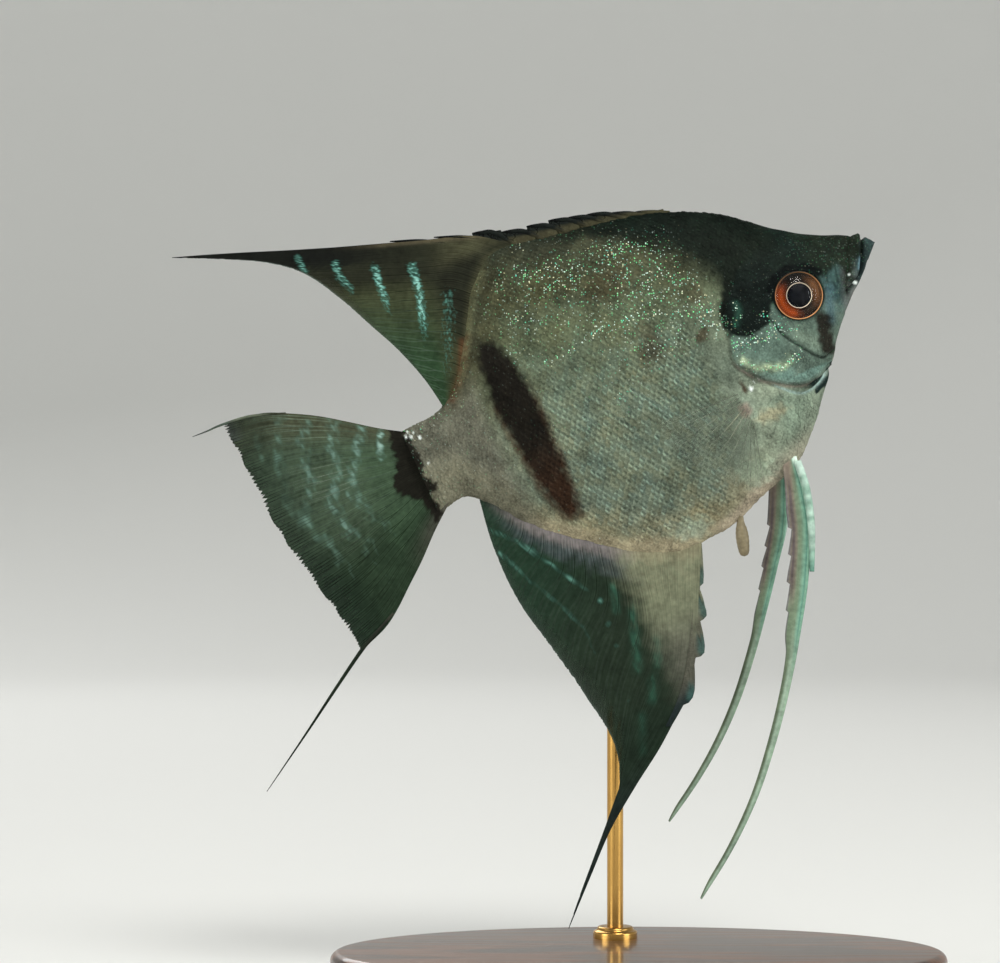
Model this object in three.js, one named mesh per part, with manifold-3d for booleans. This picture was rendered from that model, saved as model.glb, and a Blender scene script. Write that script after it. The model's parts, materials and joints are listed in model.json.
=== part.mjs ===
// A freshwater angelfish, life size, nose up on a rod and an oval base.
// Millimetres. Row frame: +X to the fish's front, +Y to its left, +Z up, origin under the middle of the base.
// The fish is drawn level in its own frame, from its snout: "behind" is the distance behind the snout,
// "up" the height over it, and "side" the distance to the fish's left. One turned group then lifts its nose.
import * as THREE from "three";
import { mergeVertices } from "three/addons/utils/BufferGeometryUtils.js";
import Module from "manifold-3d";

const wasm = await Module();
wasm.setup();

// ---- Driving sizes ----
const STANDARD_LENGTH = 75.5; // snout to the end of the tail stem
const NOSE_UP_DEG = 25;
const SNOUT_HEIGHT = 110; // over the floor
const SNOUT_FORWARD = 35; // ahead of the base's middle
const GAP = 0.3; // between neighbouring solids
const FIN_HALF = 0.27; // half of a fin's thickness at its margin
const KEEL_HALF = 0.5; // half of the body's thickness along its back and belly edges

const BASE_LENGTH = 92;
const BASE_WIDTH = 56;
const BASE_HEIGHT = 5;
const BASE_BEVEL = 0.8;
const ROD_RADIUS = 1.25;
const ROD_ALONG = -3;
const ROD_SIDE = 14; // the rod stands on the fish's far side, clear of the fins
const ROD_TOP = 84; // height at which it enters the flank
const ROD_BEND = 8;
const ROD_DEPTH = 3; // how far it reaches into the flank
const COLLAR_RADIUS = 3.4;
const COLLAR_HEIGHT = 1.8;
const ROD_FIT = 0.05; // clearance of the rod in the base and the collar

// ---- Curves ----
// A smooth function through [at, value] knots that doesn't overshoot between them.
function smooth(knots) {
  const last = knots.length - 1;
  const rise = knots.slice(1).map((k, i) => (k[1] - knots[i][1]) / (k[0] - knots[i][0]));
  const slope = knots.map((_, i) => {
    if (i === 0) return rise[0];
    if (i === last) return rise[last - 1];
    const [a, b] = [rise[i - 1], rise[i]];
    return a * b <= 0 ? 0 : (2 * a * b) / (a + b);
  });
  return (at) => {
    const x = THREE.MathUtils.clamp(at, knots[0][0], knots[last][0]);
    let i = 0;
    while (i < last - 1 && x > knots[i + 1][0]) i++;
    const span = knots[i + 1][0] - knots[i][0];
    const t = (x - knots[i][0]) / span;
    const [t2, t3] = [t * t, t * t * t];
    return (
      knots[i][1] * (2 * t3 - 3 * t2 + 1) +
      slope[i] * span * (t3 - 2 * t2 + t) +
      knots[i + 1][1] * (3 * t2 - 2 * t3) +
      slope[i + 1] * span * (t3 - t2)
    );
  };
}

// A side-view line through [behind, up] points. at(t) gives the point at t from 0 to 1.
function line(points) {
  const spline = new THREE.SplineCurve(points.map(([behind, up]) => new THREE.Vector2(behind, up)));
  return (t) => spline.getPoint(t);
}

const mix = THREE.MathUtils.lerp;
const mix2 = (a, b, t) => new THREE.Vector2().lerpVectors(a, b, t);

// ---- The body's form ----
const SNOUT = -0.5; // the lower lip's tip is a little ahead of the point the fish is drawn from
const backEdge = smooth([
  [SNOUT, 0.8], [0, 1.6], [0.8, 2.0], [1.3, 2.9], [2.2, 3.1], [4, 4], [7.4, 5.6], [12, 8.7], [19.5, 14.8],
  [29.5, 19.2], [44.5, 22.3], [51, 23.6], [56.3, 20.6], [61.3, 13.4], [66.6, 6.9], [70.3, 5.1], [75.5, 4.9],
]);
const bellyEdge = smooth([
  [SNOUT, 0.3], [0.3, -0.5], [3.3, -3.3], [9.4, -8.9], [13.8, -14.4], [19.9, -21.3], [24, -24.7], [31, -26.95], [34.3, -28.25],
  [36.8, -28.95], [40.5, -29.2], [43.5, -29.5], [49.5, -27.6], [55.9, -23.2], [64, -16], [68.8, -9.8], [71.2, -8.1], [75.5, -8.8],
]);
const halfWidth = smooth([
  [SNOUT, 0.9], [1.3, 1.8], [4, 2.9], [8, 4.4], [13, 5.7], [19, 6.7], [26, 7.1], [36, 6.6], [48, 5.3], [58, 3.9],
  [66, 2.8], [72, 2.0], [75.5, 1.6],
]);
const widestUp = smooth([[SNOUT, 0.6], [4, -0.4], [13, -2.2], [26, -0.5], [40, 1], [55, 1], [75.5, -1.9]]);
const SECTION_POWER = 2.0;
const SECTION_ROUND = 0.8;

// Half of the body's thickness at a place in side view.
function halfThickness(behind, up) {
  const middle = widestUp(behind);
  const edge = up > middle ? backEdge(behind) : bellyEdge(behind);
  const share = Math.min(1, Math.abs((up - middle) / (edge - middle)));
  return KEEL_HALF + (halfWidth(behind) - KEEL_HALF) * (1 - share ** SECTION_POWER) ** SECTION_ROUND;
}

// ---- Mesh and solid helpers ----
const toPoint = (behind, side, up) => [-behind, side, up];

function geometryOf(points, triangles) {
  const geometry = new THREE.BufferGeometry();
  geometry.setAttribute("position", new THREE.Float32BufferAttribute(points.flat(), 3));
  geometry.setIndex(triangles.flat());
  return geometry;
}

function solidOf(geometry) {
  const bare = geometry.clone();
  bare.deleteAttribute("normal");
  bare.deleteAttribute("uv");
  const merged = mergeVertices(bare, 1e-4);
  const mesh = new wasm.Mesh({
    numProp: 3,
    vertProperties: merged.attributes.position.array,
    triVerts: new Uint32Array(merged.index.array),
  });
  return new wasm.Manifold(mesh);
}

// The same solid, turned right side out if its faces point inwards.
function facingOut(points, triangles) {
  const solid = solidOf(geometryOf(points, triangles));
  return solid.volume() > 0 ? solid : solidOf(geometryOf(points, triangles.map(([a, b, c]) => [a, c, b])));
}

// A closed skin over a grid of right-side points and one of left-side points, (across + 1) x (along + 1) each.
function shell(across, along, rightAt, leftAt) {
  const points = [];
  const triangles = [];
  const index = (side, i, j) => (side * (across + 1) + i) * (along + 1) + j;
  const quad = (a, b, c, d) => triangles.push([a, b, c], [a, c, d]);
  for (const at of [rightAt, leftAt])
    for (let i = 0; i <= across; i++)
      for (let j = 0; j <= along; j++) points.push(at(i / across, j / along));
  for (let i = 0; i < across; i++)
    for (let j = 0; j < along; j++) {
      quad(index(0, i, j), index(0, i + 1, j), index(0, i + 1, j + 1), index(0, i, j + 1));
      quad(index(1, i, j), index(1, i, j + 1), index(1, i + 1, j + 1), index(1, i + 1, j));
    }
  for (let i = 0; i < across; i++) {
    quad(index(0, i, 0), index(1, i, 0), index(1, i + 1, 0), index(0, i + 1, 0));
    quad(index(0, i, along), index(0, i + 1, along), index(1, i + 1, along), index(1, i, along));
  }
  for (let j = 0; j < along; j++) {
    quad(index(0, 0, j), index(0, 0, j + 1), index(1, 0, j + 1), index(1, 0, j));
    quad(index(0, across, j), index(1, across, j), index(1, across, j + 1), index(0, across, j + 1));
  }
  return facingOut(points, triangles);
}

// A fin: a plate over place(u, v), which gives a side-view point and how far to the side it sways.
function plate(across, along, place, half) {
  const at = (sign) => (u, v) => {
    const { point, side } = place(u, v);
    return toPoint(point.x, side + sign * half(u, v), point.y);
  };
  return shell(across, along, at(-1), at(1));
}

// A tapering round thread through [behind, side, up] points.
function thread(points, startRadius, endRadius, steps = 12, sides = 6) {
  const curve = new THREE.CatmullRomCurve3(points.map((p) => new THREE.Vector3(...toPoint(...p))));
  const { normals, binormals } = curve.computeFrenetFrames(steps);
  const made = [];
  const triangles = [];
  for (let i = 0; i <= steps; i++) {
    const centre = curve.getPointAt(i / steps);
    const radius = mix(startRadius, endRadius, i / steps);
    for (let k = 0; k < sides; k++) {
      const turn = (2 * Math.PI * k) / sides;
      const out = normals[i].clone().multiplyScalar(Math.cos(turn));
      out.addScaledVector(binormals[i], Math.sin(turn));
      made.push(centre.clone().addScaledVector(out, radius).toArray());
    }
  }
  for (let i = 0; i < steps; i++)
    for (let k = 0; k < sides; k++) {
      const [a, b] = [i * sides + k, i * sides + ((k + 1) % sides)];
      triangles.push([a, b, b + sides], [a, b + sides, a + sides]);
    }
  for (const [first, flip] of [[0, true], [steps * sides, false]])
    for (let k = 1; k < sides - 1; k++) {
      const fan = [first, first + k, first + k + 1];
      triangles.push(flip ? fan.reverse() : fan);
    }
  return facingOut(made, triangles);
}

// A block over a closed side-view outline, from one side distance to another.
function block(outline, fromSide, toSide) {
  const shape = new THREE.Shape(outline.map(([behind, up]) => new THREE.Vector2(-behind, up)));
  const geometry = new THREE.ExtrudeGeometry(shape, { depth: toSide - fromSide, bevelEnabled: false });
  geometry.rotateX(Math.PI / 2); // the shape's plane becomes X and Z, and its depth runs towards -Y
  geometry.translate(0, toSide, 0);
  return solidOf(geometry);
}

// ---- The whole body, before it is parted ----
const STATIONS = 40;
const ROWS = 12;

function bodySolid(grow) {
  const slopeReach = (edge, behind) => grow * Math.hypot(1, (edge(behind + 0.2) - edge(behind - 0.2)) / 0.4);
  const at = (sign) => (u, v) => {
    // Stations and rows crowd towards the snout, the back and the belly, where the form turns fastest.
    const behind = mix(SNOUT - grow, STANDARD_LENGTH + grow, u ** 1.35);
    const share = (1 - Math.cos(Math.PI * v)) / 2;
    const inner = THREE.MathUtils.clamp(behind, SNOUT, STANDARD_LENGTH);
    const up = mix(bellyEdge(inner), backEdge(inner), share);
    const grown = mix(
      bellyEdge(inner) - slopeReach(bellyEdge, inner),
      backEdge(inner) + slopeReach(backEdge, inner),
      share,
    );
    return toPoint(behind, sign * (halfThickness(inner, up) + grow), grown);
  };
  return shell(STATIONS, ROWS, at(-1), at(1));
}

const wholeBody = bodySolid(0);
const clearance = bodySolid(GAP); // what a fin is cut back by

// ---- Eyes ----
const EYE_BEHIND = 13.85;
const EYE_UP = -1.95;
const EYE_LENGTH = 7.9; // the ring seen in the socket is a little smaller
const EYE_TALL = 7.5;
const EYE_DEPTH = 4.4;
const EYE_SIDE = 4.9;
const EYE_FORWARD_DEG = 13; // each eye looks a little ahead

function eyeball(side, grow) {
  const geometry = new THREE.SphereGeometry(1, 20, 10);
  geometry.rotateX(Math.PI / 2); // the poles face the sides
  geometry.scale(EYE_LENGTH / 2 + grow, EYE_DEPTH / 2 + grow, EYE_TALL / 2 + grow);
  geometry.rotateZ(THREE.MathUtils.degToRad(-side * EYE_FORWARD_DEG));
  geometry.translate(...toPoint(EYE_BEHIND, side * EYE_SIDE, EYE_UP));
  return solidOf(geometry);
}

// ---- Fins ----
// A fin's side view is drawn by its front edge, rear edge, root and margin; place(u, v) fills it in, with u from
// the front edge to the rear one and v from the root to the margin.
function filled(front, rear, root, margin) {
  const ends = [front(0), rear(0), front(1), rear(1)];
  return (u, v) => {
    const across = mix2(front(v), rear(v), u);
    const along = mix2(root(u), margin(u), v);
    const corners = mix2(mix2(ends[0], ends[1], u), mix2(ends[2], ends[3], u), v);
    return across.add(along).sub(corners);
  };
}

// A low plate of stiff spines along a root line: each spine's tip stands out over the start of the next one.
function spineRow(count, step, root, rise, outward, sway) {
  const place = (u, v) => {
    const spine = Math.min(u * count, count - 1e-6);
    const share = spine - Math.floor(spine);
    const reach = Math.max(0.3, rise(u) - step * (1 - share));
    const point = root(u).addScaledVector(outward, v * reach);
    return { point, side: sway(point) };
  };
  return plate(count * 3, 1, place, (u, v) => mix(0.45, 0.3, v));
}

// The back fin. Its spines lie folded along the back, and its rays sweep back to one long point.
const SPINES_FROM = 29;
const SPINES_TO = 53.6;
const RAYS_FROM = 47;
const ROOT_DEPTH = 1.2; // every root starts this far inside the body, and is cut back to leave the gap
const dorsalSway = (point) => -0.0016 * Math.max(0, point.x - 52) ** 2;
const dorsalRoot = (u) => {
  const behind = mix(RAYS_FROM, 68, u);
  return new THREE.Vector2(behind, backEdge(behind) - ROOT_DEPTH);
};
const dorsalFront = line([
  [47, 22], [53.3, 26.7], [60, 29.1], [66.5, 31.5], [73, 33.9], [79.5, 36.4], [85.5, 38.8], [90.7, 40.8], [95.6, 42.7],
]);
const dorsalRear = line([
  [68, 4.6], [69, 10.3], [70.7, 15.9], [73, 21.2], [75.4, 26.6], [78.6, 32], [83, 35.8], [88.8, 39], [95.6, 42.1],
]);
const spineHeight = smooth([[29, 1.15], [34, 1.3], [42, 1.9], [49, 2.2], [53.6, 4]]);

function dorsalFin() {
  const place = filled(dorsalFront, dorsalRear, dorsalRoot, (u) => mix2(dorsalFront(1), dorsalRear(1), u));
  const rays = plate(
    8,
    16,
    (u, v) => ({ point: place(u, v), side: dorsalSway(place(u, v)) }),
    (u, v) => FIN_HALF + 0.25 * (1 - v) ** 2,
  );
  const spineAt = (u) => mix(SPINES_FROM, SPINES_TO, u);
  const spines = spineRow(
    9,
    0.7,
    (u) => new THREE.Vector2(spineAt(u), backEdge(spineAt(u)) - ROOT_DEPTH),
    (u) => spineHeight(spineAt(u)) + ROOT_DEPTH,
    new THREE.Vector2(0, 1),
    () => 0,
  );
  return rays.add(spines).subtract(clearance);
}

// The fin under the tail: a pale front edge of short spines, then rays that sweep back to a thread.
const analSway = (point) => 0.0014 * Math.max(0, -point.y - 30) ** 2;
const analRoot = (u) => {
  const behind = mix(41.3, 69, u);
  return new THREE.Vector2(behind, bellyEdge(behind) + ROOT_DEPTH);
};
const analFront = line([
  [41.3, -28], [44.4, -35.3], [48.2, -42], [53.2, -48.6], [59.6, -53.8], [66, -58], [72.2, -62.4], [78.3, -67.9],
  [84.5, -73.6],
]);
const analRear = line([
  [69, -8.6], [70.3, -16.5], [70.4, -25], [69, -33], [67.3, -42.5], [66.6, -52], [70.8, -60.4], [78.5, -67.1],
  [84.9, -73],
]);

function analFin() {
  const place = filled(analFront, analRear, analRoot, (u) => mix2(analFront(1), analRear(1), u));
  const rays = plate(
    9,
    18,
    (u, v) => ({ point: place(u, v), side: analSway(place(u, v)) }),
    (u, v) => FIN_HALF + 0.25 * (1 - v) ** 3,
  );
  const inwards = new THREE.Vector2(1.1, 0.6);
  const spines = spineRow(
    6,
    1.1,
    (u) => analFront(0.03 + 0.37 * u).add(inwards),
    (u) => 1.7 + 0.5 * Math.sin(Math.PI * u),
    inwards.clone().negate().normalize(),
    analSway,
  );
  return rays.add(spines).subtract(clearance);
}

// The tail fin: a fan with one short and one long thread.
const tailSway = (point) => 0.006 * Math.max(0, point.x - 76) ** 2;
const tailFront = line([[74.8, 4.4], [78.2, 6.6], [81.8, 9.3], [85.5, 12], [89.4, 14.3], [93.4, 16.2], [99.5, 17.3]]);
const tailRear = line([
  [73.6, -8], [77.2, -10.8], [80.7, -13.9], [84, -16.5], [87.3, -19.1], [90.3, -20.9], [94.8, -22.4],
]);
const tailMargin = line([
  [99.5, 17.3], [99.1, 12], [98.9, 6], [98.6, -0.6], [97.5, -7], [96.3, -12.9], [95.3, -18.4], [94.8, -22.4],
]);

function tailFin() {
  const place = filled(tailFront, tailRear, (u) => mix2(tailFront(0), tailRear(0), u), tailMargin);
  const fan = plate(
    14,
    8,
    (u, v) => ({ point: place(u, v), side: tailSway(place(u, v)) }),
    (u, v) => FIN_HALF + 0.75 * (1 - v) ** 4,
  );
  const threads = [
    [[96.5, 17], [99.5, 17.1], [102, 17], [104.4, 17.5]],
    [[92.5, -21.3], [95, -22.5], [101, -26.1], [108, -30.4], [117.4, -36]],
  ].map((route) => thread(route.map(([behind, up]) => [behind, tailSway({ x: behind }), up]), 0.33, FIN_HALF));
  return fan.add(threads[0]).add(threads[1]).subtract(clearance);
}

// ---- Paired fins. side is -1 on the right and 1 on the left. ----
const pelvicRoutes = {
  right: {
    front: line([
      [23.8, -23.4], [25.8, -32.3], [29.6, -40], [34.4, -47.1], [39.5, -53.9], [44.9, -60.4], [50.7, -66.5],
      [57.3, -71.9], [64.3, -76.4],
    ]),
    width: smooth([[0, 3.2], [0.12, 3.8], [0.24, 3.7], [0.31, 2.9], [0.36, 1.9], [0.42, 1.4], [0.7, 1.15], [1, 0.9]]),
    spread: smooth([[0, 1.2], [0.25, 3.4], [0.6, 6.2], [1, 7.5]]),
    spine: [[23.7, 1.4, -24.2], [24.4, 2.2, -28.5], [26.1, 2.9, -33.8], [28.9, 3.8, -39.8]],
  },
  left: {
    front: line([
      [25.2, -23.8], [29.1, -32.1], [33.1, -37.7], [37.4, -43.2], [41.9, -48.7], [46.6, -53.9], [51.8, -58.6],
      [57.6, -62.8], [63.7, -66.4],
    ]),
    width: smooth([[0, 2.5], [0.12, 2.8], [0.22, 2.5], [0.31, 1.8], [0.4, 1.2], [0.7, 1.15], [1, 0.9]]),
    spread: smooth([[0, 1.2], [0.25, 4], [0.6, 8.4], [1, 12.5]]),
    spine: [[25.4, 1.4, -24.4], [27, 2.4, -28], [29.3, 3.4, -32.3], [32.2, 4.1, -36.3]],
  },
};

function pelvicFin(name, side) {
  const { front, width, spread, spine } = pelvicRoutes[name];
  const web = plate(
    3,
    26,
    (u, v) => {
      const ahead = front(Math.min(1, v + 0.01)).sub(front(Math.max(0, v - 0.01))).normalize();
      const rearward = new THREE.Vector2(-ahead.y, ahead.x);
      const point = front(v).addScaledVector(rearward, width(v) * u);
      return { point, side: side * spread(v) };
    },
    (u, v) => FIN_HALF + 0.1 * (1 - v),
  );
  const stiff = thread(spine.map(([behind, out, up]) => [behind, side * out, up]), 0.62, 0.34, 8);
  return web.add(stiff).subtract(clearance);
}

const PECTORAL_BEHIND = 26.2;
const pectoralMargin = line([[40.6, -10.2], [40.4, -14], [38.6, -18], [35.6, -22], [32.4, -24.8], [30.2, -25.4]]);

function pectoralFin(side) {
  const web = plate(
    9,
    5,
    (u, v) => {
      const start = new THREE.Vector2(mix(PECTORAL_BEHIND, PECTORAL_BEHIND + 1.2, u), mix(-11.2, -15.8, u));
      const point = mix2(start, pectoralMargin(u), v);
      const rooted = halfThickness(start.x, start.y) - 0.9;
      const out = rooted + 5.2 * v ** 0.9;
      return { point, side: side * out };
    },
    (u, v) => FIN_HALF + 0.15 * (1 - v),
  );
  return web.subtract(clearance);
}

// The breeding tube: a short soft cone with a blunt end, under the vent.
function breedingTube() {
  const profile = [[0, -6.2], [0.7, -5.8], [0.85, -5], [0.97, -3.4], [0.85, -2.2], [0.5, -0.9], [0.45, -0.1], [0, 0]];
  const geometry = new THREE.LatheGeometry(profile.map(([radius, up]) => new THREE.Vector2(radius, up)), 12);
  geometry.rotateX(Math.PI / 2); // the lathe's axis becomes Z
  geometry.rotateY(THREE.MathUtils.degToRad(18));
  geometry.translate(...toPoint(34.95, 0, -27.85));
  return solidOf(geometry).subtract(clearance);
}

// ---- Parting the body ----
const LIMIT = 40; // beyond the body on every side
const MOUTH = [[0.85, 2], [2.3, -1.2], [4.4, -3.4], [6.2, -4.4]]; // the cleft, from the lips' tips to its corner
const lowerJawOutline = [
  [-LIMIT, LIMIT], [0.85, LIMIT], ...MOUTH, [8.6, -8.2], [4, -LIMIT], [-LIMIT, -LIMIT],
];
const upperJawOutline = [[0.85, LIMIT], ...MOUTH, [4.9, -1.4], [2.4, 3], [2.4, LIMIT]];
const headOutline = [
  [-LIMIT, LIMIT], [18.6, LIMIT], [19.2, 14.8], [21.8, 7], [24.8, 0.5], [25.5, -4.5], [25.2, -8], [23.4, -11.6],
  [20, -13.9], [16.4, -14.7], [13.7, -14], [12.5, -LIMIT], [-LIMIT, -LIMIT],
];
// Only the front and the top of a gill cover are drawn here. Its rear and its lower edge are the head's own.
const gillCoverOutline = [
  [17.6, -2.6], [19.4, 0.6], [21.6, 2.2], [24.2, 2], [30, 2], [30, -30], [13, -30], [13.3, -12.6], [14.6, -10.8],
  [16.4, -7.4],
];
const GILL_COVER_INSIDE = 2.4;
const tailStemOutline = [[68.6, LIMIT], [67.6, 0], [68.6, -LIMIT], [LIMIT * 3, -LIMIT], [LIMIT * 3, LIMIT]];

// The outline moved outwards by a distance, for the groove round a piece.
function widened(outline, by) {
  const corners = outline.map(([x, y]) => new THREE.Vector2(x, y));
  const outwards = THREE.ShapeUtils.isClockWise(corners) ? -by : by;
  return corners.map((corner, i) => {
    const before = corners.at(i - 1);
    const after = corners[(i + 1) % corners.length];
    const arriving = corner.clone().sub(before).normalize();
    const leaving = after.clone().sub(corner).normalize();
    const along = arriving.clone().add(leaving).normalize();
    const mitre = outwards / Math.max(0.5, along.dot(leaving));
    return [corner.x + along.y * mitre, corner.y - along.x * mitre];
  });
}

const whole = (outline) => block(outline, -LIMIT, LIMIT);
const gillCovers = { right: [-LIMIT, -GILL_COVER_INSIDE], left: [GILL_COVER_INSIDE, LIMIT] };
const gillBlock = (name, by) => block(widened(gillCoverOutline, by), ...gillCovers[name]);

const lowerJaw = wholeBody.intersect(whole(lowerJawOutline));
const upperJaw = wholeBody.intersect(whole(upperJawOutline)).subtract(whole(widened(lowerJawOutline, GAP)));
const wholeHead = wholeBody.intersect(whole(headOutline));
const head = wholeHead
  .subtract(whole(widened(lowerJawOutline, GAP)))
  .subtract(whole(widened(upperJawOutline, GAP)))
  .subtract(gillBlock("right", GAP).translate(0, GAP, 0))
  .subtract(gillBlock("left", GAP).translate(0, -GAP, 0))
  .subtract(eyeball(-1, GAP))
  .subtract(eyeball(1, GAP));
const gillCover = (name) => wholeHead.intersect(gillBlock(name, 0));
const tailStem = wholeBody.intersect(whole(tailStemOutline));

// ---- Stand ----
function standBase() {
  const oval = new THREE.Shape();
  oval.absellipse(0, 0, BASE_LENGTH / 2 - BASE_BEVEL, BASE_WIDTH / 2 - BASE_BEVEL, 0, 2 * Math.PI);
  const geometry = new THREE.ExtrudeGeometry(oval, {
    depth: BASE_HEIGHT - 2 * BASE_BEVEL,
    bevelThickness: BASE_BEVEL,
    bevelSize: BASE_BEVEL,
    bevelSegments: 2,
    curveSegments: 28,
  });
  geometry.translate(0, 0, BASE_BEVEL);
  return solidOf(geometry).subtract(upright(ROD_RADIUS + ROD_FIT, 1, BASE_HEIGHT + 1));
}

// A round bar on the rod's own line.
function upright(radius, from, to) {
  const geometry = new THREE.CylinderGeometry(radius, radius, to - from, 16);
  geometry.rotateX(Math.PI / 2);
  geometry.translate(ROD_ALONG, ROD_SIDE, (from + to) / 2);
  return solidOf(geometry);
}

function standRod(radius) {
  const at = (side, up) => new THREE.Vector3(ROD_ALONG, side, up);
  const [bendStart, bendEnd] = [at(ROD_SIDE, ROD_TOP - ROD_BEND), at(ROD_SIDE - ROD_BEND, ROD_TOP)];
  const path = new THREE.CurvePath();
  path.add(new THREE.LineCurve3(at(ROD_SIDE, 1.2), bendStart));
  path.add(new THREE.QuadraticBezierCurve3(bendStart, at(ROD_SIDE, ROD_TOP), bendEnd));
  path.add(new THREE.LineCurve3(bendEnd, at(flankSide - ROD_DEPTH, ROD_TOP)));
  const section = new THREE.Shape();
  section.absarc(0, 0, radius, 0, 2 * Math.PI);
  return solidOf(new THREE.ExtrudeGeometry(section, { steps: 40, extrudePath: path, curveSegments: 6 }));
}

// ---- Placing the fish ----
const fish = new THREE.Group();
fish.rotation.y = -THREE.MathUtils.degToRad(NOSE_UP_DEG);
fish.position.set(SNOUT_FORWARD, 0, SNOUT_HEIGHT);
fish.updateMatrix();
const intoFish = fish.matrix.clone().invert();

// How far out the flank is where the rod enters it.
const entry = new THREE.Vector3(ROD_ALONG, 0, ROD_TOP).applyMatrix4(intoFish);
const flankSide = halfThickness(-entry.x, entry.z);

const rodHole = solidOf(geometryOfSolid(standRod(ROD_RADIUS + GAP)).applyMatrix4(intoFish));
const trunk = wholeBody
  .subtract(whole(widened(headOutline, GAP)))
  .subtract(whole(widened(tailStemOutline, GAP)))
  .subtract(rodHole);

function geometryOfSolid(solid) {
  const { numProp, vertProperties, triVerts } = solid.getMesh();
  const points = [];
  for (let i = 0; i < vertProperties.length; i += numProp) points.push([...vertProperties.subarray(i, i + 3)]);
  return geometryOf(points, [[...triVerts]]);
}

// ---- Materials and nodes ----
const finish = (color, roughness, metalness = 0) => new THREE.MeshStandardMaterial({ color, roughness, metalness });
const skin = finish(0x8e907c, 0.38, 0.25);
const darkSkin = finish(0x3c4540, 0.4, 0.2);
const finWeb = finish(0x4c6157, 0.5);
const paleFin = finish(0x9cc8b4, 0.4);
const eyeFinish = finish(0xb65526, 0.15);
const tubeSkin = finish(0xc2a98a, 0.5);
const stainedWood = finish(0x3a2517, 0.45);
const brass = finish(0xb08d4f, 0.3, 1);

const FACET = 0.02; // facets flatter than this are joined

function node(name, solid, material) {
  const mesh = new THREE.Mesh(geometryOfSolid(solid.simplify(FACET)), material);
  mesh.name = name;
  return mesh;
}

fish.add(
  node("head", head, darkSkin),
  node("upper_jaw", upperJaw, darkSkin),
  node("lower_jaw", lowerJaw, skin),
  node("trunk", trunk, skin),
  node("tail_stem", tailStem, skin),
  node("dorsal_fin", dorsalFin(), finWeb),
  node("anal_fin", analFin(), finWeb),
  node("tail_fin", tailFin(), finWeb),
  node("breeding_tube", breedingTube(), tubeSkin),
);
for (const [name, side] of [["right", -1], ["left", 1]])
  fish.add(
    node(`gill_cover_${name}`, gillCover(name), skin),
    node(`eye_${name}`, eyeball(side, 0), eyeFinish),
    node(`pectoral_fin_${name}`, pectoralFin(side), paleFin),
    node(`pelvic_fin_${name}`, pelvicFin(name, side), paleFin),
  );

const model = new THREE.Group();
model.add(
  fish,
  node("stand_base", standBase(), stainedWood),
  node("stand_rod", standRod(ROD_RADIUS), brass),
  node(
    "stand_collar",
    upright(COLLAR_RADIUS, BASE_HEIGHT, BASE_HEIGHT + COLLAR_HEIGHT).subtract(
      upright(ROD_RADIUS + ROD_FIT, BASE_HEIGHT - 1, BASE_HEIGHT + COLLAR_HEIGHT + 1),
    ),
    brass,
  ),
);

export default model;
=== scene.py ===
# %% [markdown]
# # A freshwater angelfish on its display stand
#
# This notebook dresses a museum model of an angelfish: one scaled skin, glassy eyes, rayed
# fins, long feelers, and the wooden foot and brass rod that carry it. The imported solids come
# first, because they fix every place and size. Each piece is then modelled over its solid.

# %% Load the frame
import json
import math

import bpy
import numpy as np
from mathutils import Matrix, Vector

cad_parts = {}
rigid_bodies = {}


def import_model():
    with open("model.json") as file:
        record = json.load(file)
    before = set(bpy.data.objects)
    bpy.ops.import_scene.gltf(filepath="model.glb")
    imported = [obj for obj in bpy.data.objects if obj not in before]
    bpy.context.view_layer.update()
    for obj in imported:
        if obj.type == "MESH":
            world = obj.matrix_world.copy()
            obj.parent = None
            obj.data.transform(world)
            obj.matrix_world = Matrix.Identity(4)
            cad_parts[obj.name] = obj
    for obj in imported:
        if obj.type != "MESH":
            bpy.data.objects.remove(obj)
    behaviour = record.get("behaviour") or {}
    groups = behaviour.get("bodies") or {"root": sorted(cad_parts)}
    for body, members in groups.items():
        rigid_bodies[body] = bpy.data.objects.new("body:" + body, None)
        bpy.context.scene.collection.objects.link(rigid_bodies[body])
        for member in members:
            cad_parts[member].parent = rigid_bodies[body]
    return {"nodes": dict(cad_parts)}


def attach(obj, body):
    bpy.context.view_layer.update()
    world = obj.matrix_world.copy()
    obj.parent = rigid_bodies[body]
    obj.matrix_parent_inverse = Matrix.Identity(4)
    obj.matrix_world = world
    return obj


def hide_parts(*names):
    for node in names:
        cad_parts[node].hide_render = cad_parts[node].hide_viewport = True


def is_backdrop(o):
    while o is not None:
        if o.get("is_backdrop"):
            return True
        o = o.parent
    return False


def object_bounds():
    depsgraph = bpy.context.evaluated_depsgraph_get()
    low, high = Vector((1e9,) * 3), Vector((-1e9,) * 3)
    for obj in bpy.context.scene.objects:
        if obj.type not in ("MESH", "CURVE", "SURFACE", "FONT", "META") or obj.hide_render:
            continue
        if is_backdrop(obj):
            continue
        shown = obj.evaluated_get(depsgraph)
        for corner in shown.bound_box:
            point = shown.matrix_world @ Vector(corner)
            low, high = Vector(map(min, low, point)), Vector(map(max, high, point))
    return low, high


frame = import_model()
cad_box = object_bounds()
print("solids:", len(frame["nodes"]), "box:", [round(x, 4) for p in cad_box for x in p])

# %% [markdown]
# ## The fish's own frame
#
# The fish swims a little nose up, so its length isn't level. Modelling it straight and then
# turning every piece by one matrix is far easier than drawing it tilted. Lengths below are in
# millimetres: how far behind the snout, how far out to the left side, and how far up.

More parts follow.
